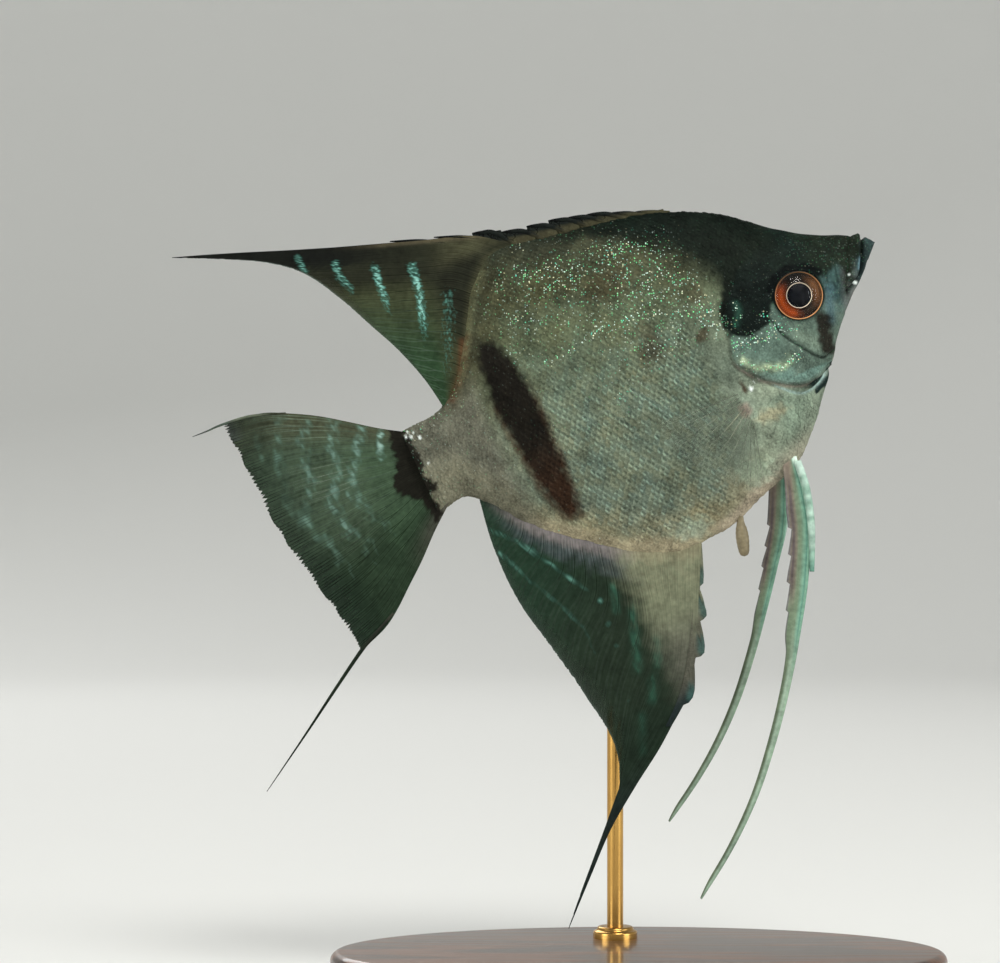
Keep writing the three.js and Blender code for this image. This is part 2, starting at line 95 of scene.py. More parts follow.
# %% Fish frame and curves
MM = 0.001
NOSE_UP = math.radians(25)
SNOUT_PLACE = (0.035, 0.0, 0.110)
FISH = Matrix.Translation(SNOUT_PLACE) @ Matrix.Rotation(-NOSE_UP, 4, "Y")
RIGHT, LEFT = -1, 1
BOTH_SIDES = (("right", RIGHT), ("left", LEFT))
rng = np.random.default_rng(7)


def smooth(knots):
    """A curve through (place, value) knots that never swings past them."""
    places, values = np.array(knots, float).T
    gaps = np.diff(places)
    steps = np.diff(values) / gaps
    alike = steps[:-1] * steps[1:] > 0
    total = np.where(alike, steps[:-1] + steps[1:], 1.0)
    inner = np.where(alike, 2 * steps[:-1] * steps[1:] / total, 0.0)
    slopes = np.concatenate([steps[:1], inner, steps[-1:]])

    def value(x):
        x = np.clip(x, places[0], places[-1])
        i = np.clip(np.searchsorted(places, x, side="right") - 1, 0, len(gaps) - 1)
        g = gaps[i]
        t = (x - places[i]) / g
        start = (2 * t**3 - 3 * t**2 + 1) * values[i] + (t**3 - 2 * t**2 + t) * g * slopes[i]
        end = (3 * t**2 - 2 * t**3) * values[i + 1] + (t**3 - t**2) * g * slopes[i + 1]
        return start + end

    return value


def line(points):
    """A flowing curve through points, walked from 0 to 1."""
    points = np.array(points, float)
    last = len(points) - 1

    def place(t):
        walk = np.clip(np.asarray(t, float), 0, 1) * last
        i = np.clip(np.floor(walk).astype(int), 0, last - 1)
        f = (walk - i)[..., None]
        here, after = points[i], points[i + 1]
        before, beyond = points[np.maximum(i - 1, 0)], points[np.minimum(i + 2, last)]
        leave, arrive = (after - before) / 2, (beyond - here) / 2
        cube = 2 * here - 2 * after + leave + arrive
        square = -3 * here + 3 * after - 2 * leave - arrive
        return cube * f**3 + square * f**2 + leave * f + here

    return place


def ease(start, end, x):
    """0 before start, 1 after end and a soft step between; start may be the larger."""
    t = np.clip((x - start) / (end - start), 0, 1)
    return t * t * (3 - 2 * t)


def mix(a, b, t):
    """Part of the way from a to b."""
    return a + (b - a) * t


# %% [markdown]
# ## Outline of the body
#
# An angelfish is a disc: tall, short and thin. Four curves hold the whole form: the back, the
# belly, half the width, and the height at which it is widest. They are the curves of the
# solids, so the skin lies just inside them by the depth of its scales.

# %% Body curves
SNOUT, TAIL_ROOT = -0.5, 75.5
# A round length, a little more than the body's, that turns places on it into shares.
BODY_SPAN = 80.0
KEEL = 0.5
SKIN_DEPTH = 0.15
back_edge = smooth([
    [-0.5, 0.7], [-0.2, 1.3], [0.8, 2.1], [1.3, 2.9], [2.2, 3.1], [4, 4], [7.4, 5.6], [12, 8.7],
    [19.5, 14.8], [29.5, 19.2], [44.5, 22.3], [51, 23.6], [56.3, 20.6], [61.3, 13.4],
    [66.6, 6.9], [70.3, 5.1], [75.5, 4.9],
])
belly_edge = smooth([
    [-0.5, 0.3], [0.3, -0.5], [3.3, -3.3], [9.4, -8.9], [13.8, -14.4], [19.9, -21.3],
    [24, -24.7], [31, -26.95], [34.3, -28.25], [36.8, -28.95], [40.5, -29.2], [43.5, -29.5],
    [49.5, -27.6], [55.9, -23.2],
    [64, -16], [68.8, -9.8], [71.2, -8.1], [75.5, -8.8],
])
half_width = smooth([
    [-0.5, 0.9], [1.3, 1.8], [4, 2.9], [8, 4.4], [13, 5.7], [19, 6.7], [26, 7.1], [36, 6.6],
    [48, 5.3], [58, 3.9], [66, 2.8], [72, 2.0], [75.5, 1.6],
])
widest_up = smooth([
    [-0.5, 0.6], [4, -0.4], [13, -2.2], [26, -0.5], [40, 1], [55, 1], [75.5, -1.9],
])


def section(s, lean):
    """Side and height of the body at s; lean runs from the belly, -90 degrees, to the back."""
    widest = widest_up(s)
    reach = np.where(lean > 0, back_edge(s) - widest, widest - belly_edge(s))
    round_off = np.clip(np.cos(lean), 0, 1)
    side = (half_width(s) - KEEL) * round_off**1.6 + KEEL * round_off**0.5
    return side, widest + reach * np.sin(lean)


def side_of_body(s, z):
    """Half the thickness of the body at s behind the snout and z up."""
    widest = widest_up(s)
    reach = np.where(z > widest, back_edge(s) - widest, widest - belly_edge(s))
    return section(s, np.arcsin(np.clip((z - widest) / reach, -1, 1)))[0]


MIDDLE_OF_VIEW, VIEWED_FROM = (65.2, -8.1), 497.5


def seen(s, z):
    """Where a point of the side appears: what stands nearer looks further from the middle."""
    s, z = np.broadcast_arrays(np.asarray(s, float), np.asarray(z, float))
    near = side_of_body(s, z) / VIEWED_FROM
    return s + (s - MIDDLE_OF_VIEW[0]) * near, z + (z - MIDDLE_OF_VIEW[1]) * near


print("deepest body:", round(float(back_edge(44) - belly_edge(44)), 1), "mm")

# %% [markdown]
# ## Camera
#
# A plate in a field guide shows a fish level and square to its flank. A long lens gives the
# same flat drawing of the right side, with no depth of field.

# %% Camera
PICTURE_WIDTH = 0.14925
LENS, SENSOR = 120.0, 36.0
BEHIND_SNOUT, BELOW_SNOUT = 0.05567, 0.0350
camera_data = bpy.data.cameras.new("camera")
camera_data.lens = LENS
camera_data.sensor_width = SENSOR
camera = bpy.data.objects.new("camera", camera_data)
bpy.context.scene.collection.objects.link(camera)
distance_away = PICTURE_WIDTH * LENS / SENSOR
camera.location = (SNOUT_PLACE[0] - BEHIND_SNOUT, -distance_away, SNOUT_PLACE[2] - BELOW_SNOUT)
camera.rotation_euler = (math.pi / 2, 0, 0)
bpy.context.scene.camera = camera
print("camera stands", round(distance_away, 3), "m away")

# %% [markdown]
# ## Helpers for meshes
#
# Thousands of small scales would be slow with operators, so meshes are built from arrays of
# points and faces. Each maker returns its points in fish millimetres, its faces, and numbers
# for each point, such as how far along a ray it lies, which the finishes read later.

# %% Mesh helpers
def outwards(points, faces):
    """The faces of a closed mesh, turned over if they face inwards."""
    volume = 0.0
    for f in faces:
        for k in range(1, f.shape[1] - 1):
            crossed = np.cross(points[f[:, k]], points[f[:, k + 1]])
            volume += float(np.einsum("ij,ij->", points[f[:, 0]], crossed))
    return [f[:, ::-1] for f in faces] if volume < 0 else faces


def placed(name, data):
    """A new object in the scene."""
    made = bpy.data.objects.new(name, data)
    bpy.context.scene.collection.objects.link(made)
    return made


def joined(*bits):
    """Several (points, faces, numbers) as one."""
    faces, start = [], 0
    for points, some_faces, _ in bits:
        faces += [f + start for f in some_faces]
        start += len(points)
    numbers = {n: np.concatenate([b[2][n] for b in bits]) for n in bits[0][2]}
    return np.concatenate([b[0] for b in bits]), faces, numbers


def build(name, bit, finish, hides=(), fish=True, crease=None, bake=None):
    """A mesh object of one bit, riding on the model, with its finish."""
    points, faces, numbers = bit
    local = points * MM
    if fish:
        local = local * [-1, 1, 1] @ np.array(FISH.to_3x3()).T + SNOUT_PLACE
    faces = outwards(local, faces)
    mesh = bpy.data.meshes.new(name)
    loops = np.concatenate([f.ravel() for f in faces])
    sizes = np.concatenate([np.full(len(f), f.shape[1]) for f in faces])
    mesh.vertices.add(len(local))
    mesh.vertices.foreach_set("co", local.astype(np.float32).ravel())
    mesh.loops.add(len(loops))
    mesh.loops.foreach_set("vertex_index", loops.astype(np.int32))
    mesh.polygons.add(len(sizes))
    mesh.polygons.foreach_set("loop_start", (np.cumsum(sizes) - sizes).astype(np.int32))
    mesh.update(calc_edges=True)
    mesh.shade_smooth()
    if crease:
        mesh.set_sharp_from_angle(angle=math.radians(crease))
    for label, values in numbers.items():
        if values.ndim == 1:
            mesh.attributes.new(label, "FLOAT", "POINT").data.foreach_set("value", values.astype(np.float32))
        else:
            rgba = np.column_stack([values, np.ones(len(values))]).astype(np.float32)
            mesh.attributes.new(label, "FLOAT_COLOR", "POINT").data.foreach_set("color", rgba.ravel())
    if bake is not None:
        patches = mesh.uv_layers.new(name="OFBake")
        patches.data.foreach_set("uv", bake[loops].astype(np.float32).ravel())
    made = placed(name, mesh)
    made.data.materials.append(finish)
    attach(made, "root")
    if hides:
        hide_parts(*hides)
    mesh.calc_loop_triangles()
    print(f"{name}: {len(mesh.loop_triangles)} triangles")
    return made


def net(points, across, along):
    """Faces of a grid of points, across by along, each a number of points."""
    i, j = np.meshgrid(np.arange(across - 1), np.arange(along - 1), indexing="ij")
    corner = (i * along + j).ravel()
    return np.column_stack([corner, corner + 1, corner + along + 1, corner + along]) + points


def tube_faces(steps, sides):
    """The walls and both ends of a closed tube of rings; its two end points come last."""
    ring, spot = np.meshgrid(np.arange(steps - 1) * sides, np.arange(sides), indexing="ij")
    after = (spot + 1) % sides
    walls = np.stack([ring + spot, ring + after, ring + sides + after, ring + sides + spot], -1)
    total, k = steps * sides, np.arange(sides)
    near = np.column_stack([np.full(sides, total), np.roll(k, -1), k])
    last = total - sides
    far = np.column_stack([np.full(sides, total + 1), last + k, last + np.roll(k, -1)])
    return [walls.reshape(-1, 4), near, far]


def rods(paths, radius, sides=6, aside=(0.0, 1.0, 0.0)):
    """Closed round rods along paths (rods, steps, 3), with a radius at each step."""
    paths = np.asarray(paths, float)
    count, steps, _ = paths.shape
    ahead = np.gradient(paths, axis=1)
    ahead /= np.linalg.norm(ahead, axis=2, keepdims=True) + 1e-9
    across = np.cross(ahead, aside)
    across /= np.linalg.norm(across, axis=2, keepdims=True) + 1e-9
    out = np.cross(across, ahead)
    turn = 2 * np.pi * np.arange(sides) / sides
    spoke = np.cos(turn)[:, None] * across[:, :, None] + np.sin(turn)[:, None] * out[:, :, None]
    rings = paths[:, :, None] + radius[:, :, None, None] * spoke
    points = np.concatenate([rings.reshape(count, -1, 3), paths[:, :1], paths[:, -1:]], axis=1)
    start = (np.arange(count) * points.shape[1])[:, None, None]
    faces = [(f[None] + start).reshape(-1, f.shape[1]) for f in tube_faces(steps, sides)]
    step = np.repeat(np.linspace(0, 1, steps), sides)
    share = np.tile(np.concatenate([step, [0, 1]]), count)
    return points.reshape(-1, 3), faces, share


def sheet(middle, half, across, along):
    """A closed thin sheet: middle (across, along, 3) thickened by half to both sides."""
    push = half[..., None] * np.array([0.0, 1.0, 0.0])
    points = np.concatenate([(middle - push).reshape(-1, 3), (middle + push).reshape(-1, 3)])
    other = across * along
    right, left = net(0, across, along), net(other, across, along)[:, ::-1]
    grid = np.arange(other).reshape(across, along)
    rim = np.concatenate([grid[0], grid[1:, -1], grid[-1, -2::-1], grid[-2:0:-1, 0]])
    after = np.roll(rim, -1)
    edge = np.column_stack([after, rim, rim + other, after + other])
    return points, [right, left, edge]


# %% [markdown]
# ## Folds of the skin
#
# The head of a real fish is not one smooth shell. The jaws fold over each other, the eye sits
# in a socket, and the gill cover is a loose plate with a free edge. Carving each fold as a
# height over the smooth body keeps the skin in one piece, so no seam can show.

# %% Paths of the folds
def route(points, steps=14):
    """A flowing path as straight lengths."""
    return line(points)(np.linspace(0, 1, steps))


MOUTH = route([[0.6, 2.6], [0.85, 2.0], [1.5, 0.6], [2.3, -1.2], [3.3, -2.8], [4.5, -3.65], [6.1, -4.4]])
LIP_FOLD = route([[2.3, 3.2], [3.4, 1.4], [4.7, -1.2], [5.8, -3.2], [6.4, -4.6]])
CHIN_FOLD = route([[1.6, -1.6], [3.2, -3.4], [5.2, -5.0], [7.6, -7.2]])
CHEEK_FOLD = route(
    [[18.3, -3.7], [17.8, -6.0], [16.8, -7.8], [15.6, -9.7], [14.5, -11.2], [13.7, -11.8], [12.2, -11.6]]
)
GILL_EDGE = route([
    [20.1, 5.3], [21.8, 3.2], [23.4, 1.6], [24.5, -0.3], [24.9, -2.6], [25.8, -5.4], [26.0, -7.2],
    [24.8, -9.3], [23.5, -11.0], [21.8, -12.3], [20.0, -13.5], [17.8, -14.4], [15.3, -14.2], [13.3, -13.3],
], 30)
GILL_COVER = np.concatenate([GILL_EDGE, [[10.4, -9.2], [8.8, -5.0], [9.0, 3.0], [13.0, 8.5]]])
GILL_RIB = route([[25.0, -6.8], [23.9, -8.4], [21.4, -9.9], [19.6, -10.4], [17.6, -10.3], [16.9, -9.6]])
THROAT = route([[22.8, -11.6], [21.4, -13.2], [19.2, -15.2], [17.2, -15.5], [15.1, -14.9], [13.5, -13.8]])
LATERAL = route([[40.3, 6.5], [42.1, 6.3], [44.4, 6.5], [47.4, 6.3], [48.7, 6.0], [50.6, 5.5]])
PECTORAL_ROOT = route([[26.2, -11.2], [26.9, -13.4], [27.4, -15.8]], 4)
EYE_AT, EYE_REACH = (13.12, -1.88), (3.72, 3.55)
NOSTRIL = (6.0, 1.2)


def distance(s, z, path):
    """How far points are from a path, seen from the side."""
    nearest = np.full(np.shape(s), 1e9)
    for (s0, z0), (s1, z1) in zip(path[:-1], path[1:]):
        run, rise = s1 - s0, z1 - z0
        t = np.clip(((s - s0) * run + (z - z0) * rise) / (run**2 + rise**2), 0, 1)
        nearest = np.minimum(nearest, np.hypot(s - s0 - t * run, z - z0 - t * rise))
    return nearest


def enclosed(s, z, outline):
    """Whether points lie inside a closed outline, seen from the side."""
    inside = np.zeros(np.shape(s), bool)
    for (s0, z0), (s1, z1) in zip(outline, np.roll(outline, -1, axis=0)):
        if z0 != z1:
            inside ^= ((z0 > z) != (z1 > z)) & (s < (s1 - s0) * (z - z0) / (z1 - z0) + s0)
    return inside


def bell(x, width):
    """1 at zero, fading with a given width."""
    return np.exp(-((x / width) ** 2))


def brush(s, z, path, width):
    """1 along a path, fading with a given width."""
    return bell(distance(s, z, path), width)


def round_eye(s, z, grow=1.0):
    """1 on the ring where the eye meets the skin, less inside."""
    return np.hypot((s - EYE_AT[0]) / (EYE_REACH[0] * grow), (z - EYE_AT[1]) / (EYE_REACH[1] * grow))


def past_gill_edge(s, z):
    """Signed distance inwards from the free edge of the gill cover."""
    away = distance(s, z, GILL_EDGE)
    return np.where(enclosed(s, z, GILL_COVER), away, -away)


# %% Heights of the folds
def head_relief(s, z):
    """Height of the skin over the smooth head, in millimetres."""
    mouth = distance(s, z, MOUTH)
    height = -0.5 * bell(mouth, 0.17) + 0.16 * bell(mouth - 0.5, 0.32)
    height -= 0.16 * brush(s, z, LIP_FOLD, 0.2)
    height -= 0.12 * brush(s, z, CHIN_FOLD, 0.22)
    eye = round_eye(s, z)
    height += -2.5 * ease(1.0, 0.93, eye) + 0.16 * bell(eye - 1.05, 0.05)
    nostril = np.hypot(s - NOSTRIL[0], z - NOSTRIL[1])
    height += -0.2 * bell(nostril, 0.22) + 0.06 * bell(nostril - 0.38, 0.16)
    cheek = distance(s, z, CHEEK_FOLD)
    height -= 0.24 * bell(cheek, 0.2)
    height += 0.12 * bell(cheek - 0.6, 0.6) * (s < 16.6)
    gill = past_gill_edge(s, z)
    free = ease(5.2, -2.0, z)
    height += 0.34 * free * ease(-0.1, 0.16, gill) * np.exp(-np.clip(gill, 0, 9) / 3.0)
    height -= 0.22 * free * bell(gill + 0.3, 0.26)
    height += 0.12 * brush(s, z, GILL_RIB, 0.7)
    throat = distance(s, z, THROAT)
    height += -0.3 * bell(throat, 0.2) + 0.1 * bell(throat - 0.55, 0.3)
    return height


def relief(s, z):
    """Height of the skin over the smooth body, in millimetres."""
    s, z = seen(s, z)
    height = 0.22 * brush(s, z, PECTORAL_ROOT, 0.8)
    height = height - 0.05 * brush(s, z, LATERAL[::2], 0.25)
    height = height + 0.03 * np.sin(0.9 * s + 1.3 * z) * np.sin(0.7 * s - 0.8 * z + 1)
    near = s < 27.5
    height[near] += head_relief(s[near], z[near])
    return height


def surface(s, lean, hand, lift=0.0):
    """Points of the skin, on the right (-1) or left (1), lifted off it by lift."""
    nudge, steepest = 0.02, math.pi / 2 - 0.03

    def at(s, lean):
        side, up = section(s, lean)
        return np.stack([s, side, up], -1)

    here = at(s, lean)
    inner = np.clip(lean, -steepest, steepest)
    normal = np.cross(at(s + nudge, lean) - at(s - nudge, lean), at(s, inner + nudge) - at(s, inner - nudge))
    normal /= np.linalg.norm(normal, axis=-1, keepdims=True) + 1e-12
    outward = normal[..., 1] * here[..., 1] + normal[..., 2] * (here[..., 2] - widest_up(s))
    normal *= np.where(outward < 0, -1.0, 1.0)[..., None]
    points = here + normal * (relief(s, here[..., 2]) - SKIN_DEPTH + lift)[..., None]
    points[..., 1] = np.maximum(points[..., 1], 0) * hand
    return points


# %% [markdown]
# ## Markings
#
# The skin and the scales on it carry the same markings, so one function gives the colour at
# any point of the side. It lays soft patches over each other as a model painter does: the
# silver flank first, then the dark nape, the bars, the blotches and the small smudges. Painted
# shade in the grooves of the head and over the eye, and painted highlights on the gill rib and
# in small white spots, are laid on in the same way.

# %% Paint box
def paint(*screen):
    """A screen colour, 0 to 255, as the light it stands for."""
    c = np.array(screen) / 255
    return np.where(c > 0.04045, ((c + 0.055) / 1.055) ** 2.4, c / 12.92)


BELLY_TAN, FLANK_LOW = paint(130, 126, 102), paint(98, 108, 94)
FLANK_MID, FLANK_HIGH = paint(102, 112, 96), paint(84, 92, 72)
BACK_OLIVE, BACK_EDGE = paint(66, 68, 50), paint(50, 52, 40)
NAPE, BREAST, BREAST_EDGE = paint(13, 22, 17), paint(132, 143, 124), paint(146, 138, 122)
TAIL_STEM, SADDLE = paint(92, 92, 80), paint(76, 78, 58)
CHEEK, CHEEK_BLUE = paint(82, 98, 88), paint(56, 78, 76)
GILL, GILL_RIB_SHEEN = paint(82, 100, 90), paint(158, 174, 140)
SNOUT_DARK, LIP_PALE = paint(23, 30, 21), paint(44, 58, 58)
BLACK, BAR_CORE, BAR_RUST = paint(5, 9, 9), paint(24, 22, 18), paint(58, 38, 26)
# The white here is the colour of painted highlights.
SMUDGE, RUST, HIGHLIGHT_WHITE = paint(58, 46, 32), paint(96, 60, 38), paint(236, 244, 240)
PINKISH, SHADE_BROWN = paint(142, 128, 122), paint(70, 58, 48)


def lay(colour, over, mask):
    """Over laid on colour where mask is 1."""
    return colour + (over - colour) * np.asarray(mask)[..., None]


def plain(colour, like):
    """One colour for every point."""
    return np.broadcast_to(colour, (len(like), 3))


def lay_all(colour, *layers):
    """Several (colour, mask) layers laid on a first colour, one after another."""
    for over, mask in layers:
        colour = lay(colour, over, mask)
    return colour


def ripple(s, z, size):
    """A wandering number from -1 to 1 that breaks up the edges of markings."""
    a, b = s / size, z / size
    return np.sin(1.7 * a + 1.9 * np.sin(1.1 * b)) * np.sin(2.1 * b + 1.6 * np.sin(1.3 * a + 2))


# %% Markings of the body
DARK_HEAD = np.array([
    [31.1, 15.7], [29.1, 12.6], [27.1, 10.0], [25.3, 8.3], [23.7, 6.2], [23.1, 4.3], [23.5, 2.9], [24.8, 0.9],
    [25.4, -1.4], [25.0, -2.9], [23.4, -3.9], [21.5, -4.3], [19.6, -4.1], [18.5, -3.4], [17.6, -1.6],
    [15.9, -0.4], [13.0, -0.6], [10.0, -0.6], [8.2, -0.6], [7.2, -0.2], [5.9, -0.3], [5.4, -1.6],
    [5.4, -3.6], [4.6, -3.4], [3.5, -0.7], [1.7, 0.2], [0.2, 2.7], [0.0, 6.0], [12.0, 12.0], [20.0, 20.0],
    [32.0, 24.0],
])
NAPE_DEPTH = smooth([[28, 10.0], [31, 4.6], [36, 2.4], [44, 1.6], [60, 1.2]])
REAR_BAR = np.array([
    [59.3, 12.0], [60.7, 9.6], [61.1, 6.5], [61.6, 2.9], [61.4, -0.1], [61.2, -3.0], [60.8, -6.0],
    [60.6, -9.0],
    [60.3, -11.7], [59.7, -14.4], [59.0, -16.7], [57.7, -17.9], [56.2, -17.9], [56.0, -15.3], [55.6, -12.0],
    [55.2, -9.0], [55.3, -6.2], [55.2, -3.1], [55.0, 0.0], [55.0, 2.0], [55.5, 3.9], [55.8, 6.3],
    [56.3, 8.5], [57.1, 10.8], [58.1, 11.8],
])
TAIL_BAR = np.array([
    [76.9, 6.4], [77.8, 3.4], [78.0, 1.5], [78.8, -0.2], [80.3, -2.4], [79.2, -4.2], [77.3, -5.5],
    [76.9, -7.6],
    [76.6, -9.8], [75.1, -9.0], [74.7, -7.0], [75.5, -5.6], [74.0, -5.4], [73.9, -4.3], [74.9, -2.6],
    [74.5, -1.3], [74.2, 0.6], [74.4, 2.5], [75.6, 6.0],
])
LIP_SHINE = [[2.4, -0.6], [3.2, -2.0]]
CHEEK_SHINE = [[15.4, -7.4], [13.6, -9.6]]
FACE_SHINE = [[8.6, -3.0], [10.2, -7.2]]
BEHIND_EYE = [[22.1, 1.0], [22.2, -0.3], [23.5, -1.8]]
BROW_SHADOW = [[16.6, 0.6], [15.4, 1.9], [13.1, 2.5], [10.6, 1.7], [9.0, 0.1]]
CHEEK_BAR = [[11.3, -6.7], [11.9, -8.6], [12.4, -10.8]]
CHIN_LINE = [[4.6, -5.2], [7.6, -8.6], [10.8, -12.0], [12.4, -13.6]]
THROAT_SHADOW = [[18.2, -14.75], [16.6, -14.95], [14.8, -14.3], [13.0, -12.9]]
THROAT_EDGE = [[16.6, -15.9], [15.2, -15.6], [13.8, -14.6]]
THROAT_DARK = paint(10, 26, 26)


def stroke(s, z, path, inner, outer):
    """A soft brush stroke along a path."""
    return ease(outer, inner, distance(s, z, path) + 0.3 * ripple(s, z, 0.9))


def flank_colour(s, z):
    """The silver side between the dark back and the tan belly, and the tail stem."""
    share = (z - belly_edge(s)) / (back_edge(s) - belly_edge(s) + 1e-6)
    stops = [0, 0.05, 0.16, 0.45, 0.7, 0.86, 0.97]
    tones = [BELLY_TAN, BELLY_TAN, FLANK_LOW, FLANK_MID, FLANK_HIGH, BACK_OLIVE, BACK_EDGE]
    wander = share + 0.02 * ripple(s, z, 3.0)
    colour = np.stack([np.interp(wander, stops, [t[k] for t in tones]) for k in range(3)], -1)
    colour = lay(colour, BREAST, ease(33, 24, s) * ease(-7, -13, z))
    edge = z - belly_edge(s)
    colour = lay(colour, BREAST_EDGE, 0.7 * ease(4.5, 1.0, edge) * ease(36, 30, s) * ease(12, 16, s))
    warm = 0.5 + 0.5 * ripple(s + 4, z, 4.0)
    colour = lay(colour, colour * np.array([1.22, 1.0, 0.78]), 0.3 * warm * ease(34, 40, s) * ease(66, 60, s))
    cool = 0.25 * (1 - warm) * ease(22, 30, s) * ease(60, 50, s)
    keel = 0.9 * ease(3.4, 1.2, edge + 0.6 * ripple(s, z, 1.5)) * ease(38, 44, s) * ease(70, 64, s)
    stem = ease(60.5, 65, s) * ease(3.5, 8, back_edge(s) - z + 0.6 * (s - 60))
    fin_foot = 0.85 * ease(2.4, 0.5, back_edge(s) - z) * ease(52, 56, s) * ease(67, 63, s)
    rust = distance(s, z, [[61.2, 13.4], [63.9, 9.2], [66.8, 6.0]])
    return lay_all(
        colour,
        (colour * np.array([0.82, 1.02, 1.2]), cool),
        (paint(150, 141, 116), keel),
        # Paler tan on the belly's edge: partly the belly's own tan, partly painted light on the edge that
        # faces down.
        (paint(164, 152, 132), 0.9 * ease(2.4, 0.8, edge) * ease(26, 30, s) * ease(42, 36, s)),
        (SADDLE, ease(52, 58, s) * ease(3.2, 1.6, back_edge(s) - z) * ease(67, 62, s)),
        (TAIL_STEM, stem),
        (BELLY_TAN, 0.25 * stem * ease(9, 4, edge)),
        (paint(108, 124, 108), 0.8 * ease(26, 22, s) * ease(-13, -15, z) * ease(-24, -19, z)),
        (paint(82, 82, 60), fin_foot),
        (RUST, 0.5 * bell(rust, 1.0) * (0.6 + 0.4 * ripple(s, z, 0.7))),
    )


def signed(s, z, outline):
    """Distance inwards from a closed outline; negative outside."""
    away = distance(s, z, np.vstack([outline, outline[:1]]))
    return np.where(enclosed(s, z, outline), away, -away)


def tail_bar(s, z):
    """How far a point lies in the dark bar at the root of the tail, 0 to 1."""
    inside = signed(s, z, TAIL_BAR) + 0.35 * ripple(s, z, 0.7)
    return 0.97 * ease(-0.25, 0.35, inside)


def head_colour(s, z, colour):
    """The gill cover, cheek, snout and lips laid over colour."""
    gill = past_gill_edge(s, z)
    cheek = ease(18.0, 16.4, s + 0.18 * (z + 4)) * ease(0.5, -2, z) * (z > -12.5)
    face = ease(10.1, 7.4, s - 0.35 * (z + 4) + 0.5 * ripple(s, z, 0.8))
    grain = ripple(s * 2.2, 0.5 * z, 0.8)
    throat = distance(s, z, THROAT)
    shadow = 0.97 * stroke(s, z, THROAT_SHADOW, 0.2, 0.42) * ease(18.6, 16.6, s)
    return lay_all(
        colour,
        (GILL, ease(-0.2, 0.3, gill) * ease(8.5, 4.5, z)),
        (paint(98, 124, 114), ease(-9.5, -12, z) * ease(0, 0.5, gill)),
        # Pale along the raised gill rib and a spot at its end are painted sheen where light catches it.
        (GILL_RIB_SHEEN, 0.75 * brush(s, z, GILL_RIB, 0.6) * (0.7 + 0.5 * ripple(s, z, 0.9))),
        (paint(176, 196, 150), 0.8 * bell(np.hypot(s - 17.4, z + 9.9), 0.8)),
        (CHEEK, cheek),
        (paint(112, 128, 112), 0.6 * brush(s, z, CHEEK_SHINE, 1.2)),
        (CHEEK_BLUE, face),
        (paint(66, 92, 102), 0.6 * brush(s, z, FACE_SHINE, 0.9)),
        (SNOUT_DARK, 0.6 * face * ease(0.1, 0.8, grain) * ease(-6, -1, z)),
        (paint(96, 92, 90), 0.5 * face * ease(6.0, 4.6, s + 0.4 * z)),
        (PINKISH * 0.75, 0.8 * brush(s, z, CHIN_LINE, 0.7)),
        (LIP_PALE, ease(4.4, 2.6, s + 0.2 * z)),
        (paint(120, 156, 170), 0.6 * brush(s, z, LIP_SHINE, 0.2)),
        # Black in the mouth slit and cheek fold, and dark in the lip fold, are painted shade in the grooves.
        (BLACK, 0.8 * brush(s, z, MOUTH, 0.3)),
        (SNOUT_DARK, 0.7 * brush(s, z, LIP_FOLD, 0.35)),
        (BLACK, 0.7 * brush(s, z, CHEEK_FOLD, 0.2)),
        (SHADE_BROWN, 0.42 * bell(gill - 0.3, 0.45) * ease(-6, -9, z)),
        (paint(140, 122, 116), 0.5 * bell(gill + 0.15, 0.2) * ease(-6, -9, z)),
        (THROAT_DARK, shadow),
        (THROAT_DARK, 0.97 * stroke(s, z, THROAT_EDGE, 0.12, 0.34)),
        (paint(170, 196, 190), 0.85 * bell(throat, 0.15) * ease(-12, -13, z)),
    )


# Each spot: its centre, its size, its strength and its colour.
SPOTS = (
    ((28.7, -1.2), (1.5, 1.3), 0.75, SMUDGE),
    ((36.6, 0.0), (2.6, 2.4), 0.6, SMUDGE),
    ((36.0, 3.2), (1.8, 1.8), 0.4, SMUDGE),
    ((38.4, 11.6), (6.0, 3.0), 0.45, SMUDGE),
    ((29.0, 7.4), (3.8, 4.6), 0.55, paint(62, 62, 44)),
    ((26.8, 4.4), (1.4, 1.8), 0.35, BAR_RUST),
    ((33.5, -8.5), (5.0, 4.2), 0.35, paint(82, 92, 76)),
    ((42.0, -26.6), (3.4, 2.0), 0.5, paint(122, 142, 128)),
    ((30.0, -23.0), (3.5, 2.5), 0.5, paint(140, 160, 140)),
    ((24.4, -16.2), (3.0, 1.3), 0.4, paint(156, 138, 104)),
    ((26.4, -10.9), (0.45, 1.2), 0.85, BAR_RUST),
    ((27.6, -14.0), (1.0, 1.3), 0.5, paint(150, 120, 112)),
    # The white spots are painted highlights: pectoral root, pelvic root, lips and tail stem.
    ((24.2, -10.7), (0.55, 0.35), 0.95, HIGHLIGHT_WHITE),
    ((25.4, -11.5), (0.35, 0.5), 0.95, HIGHLIGHT_WHITE),
    ((24.3, -24.2), (0.45, 0.3), 0.6, HIGHLIGHT_WHITE),
    ((4.5, -3.7), (0.32, 0.3), 0.9, HIGHLIGHT_WHITE),
    ((75.2, 3.8), (0.3, 0.3), 0.9, HIGHLIGHT_WHITE),
    ((74.8, 4.3), (0.28, 0.26), 0.7, HIGHLIGHT_WHITE),
    ((74.5, 3.5), (0.25, 0.32), 0.75, HIGHLIGHT_WHITE),
    ((73.9, 3.9), (0.22, 0.25), 0.6, HIGHLIGHT_WHITE),
    ((73.3, 2.9), (0.26, 0.3), 0.75, HIGHLIGHT_WHITE),
    ((73.8, -1.1), (0.3, 0.24), 0.5, HIGHLIGHT_WHITE),
    ((4.9, -2.3), (0.25, 0.25), 0.7, HIGHLIGHT_WHITE),
)


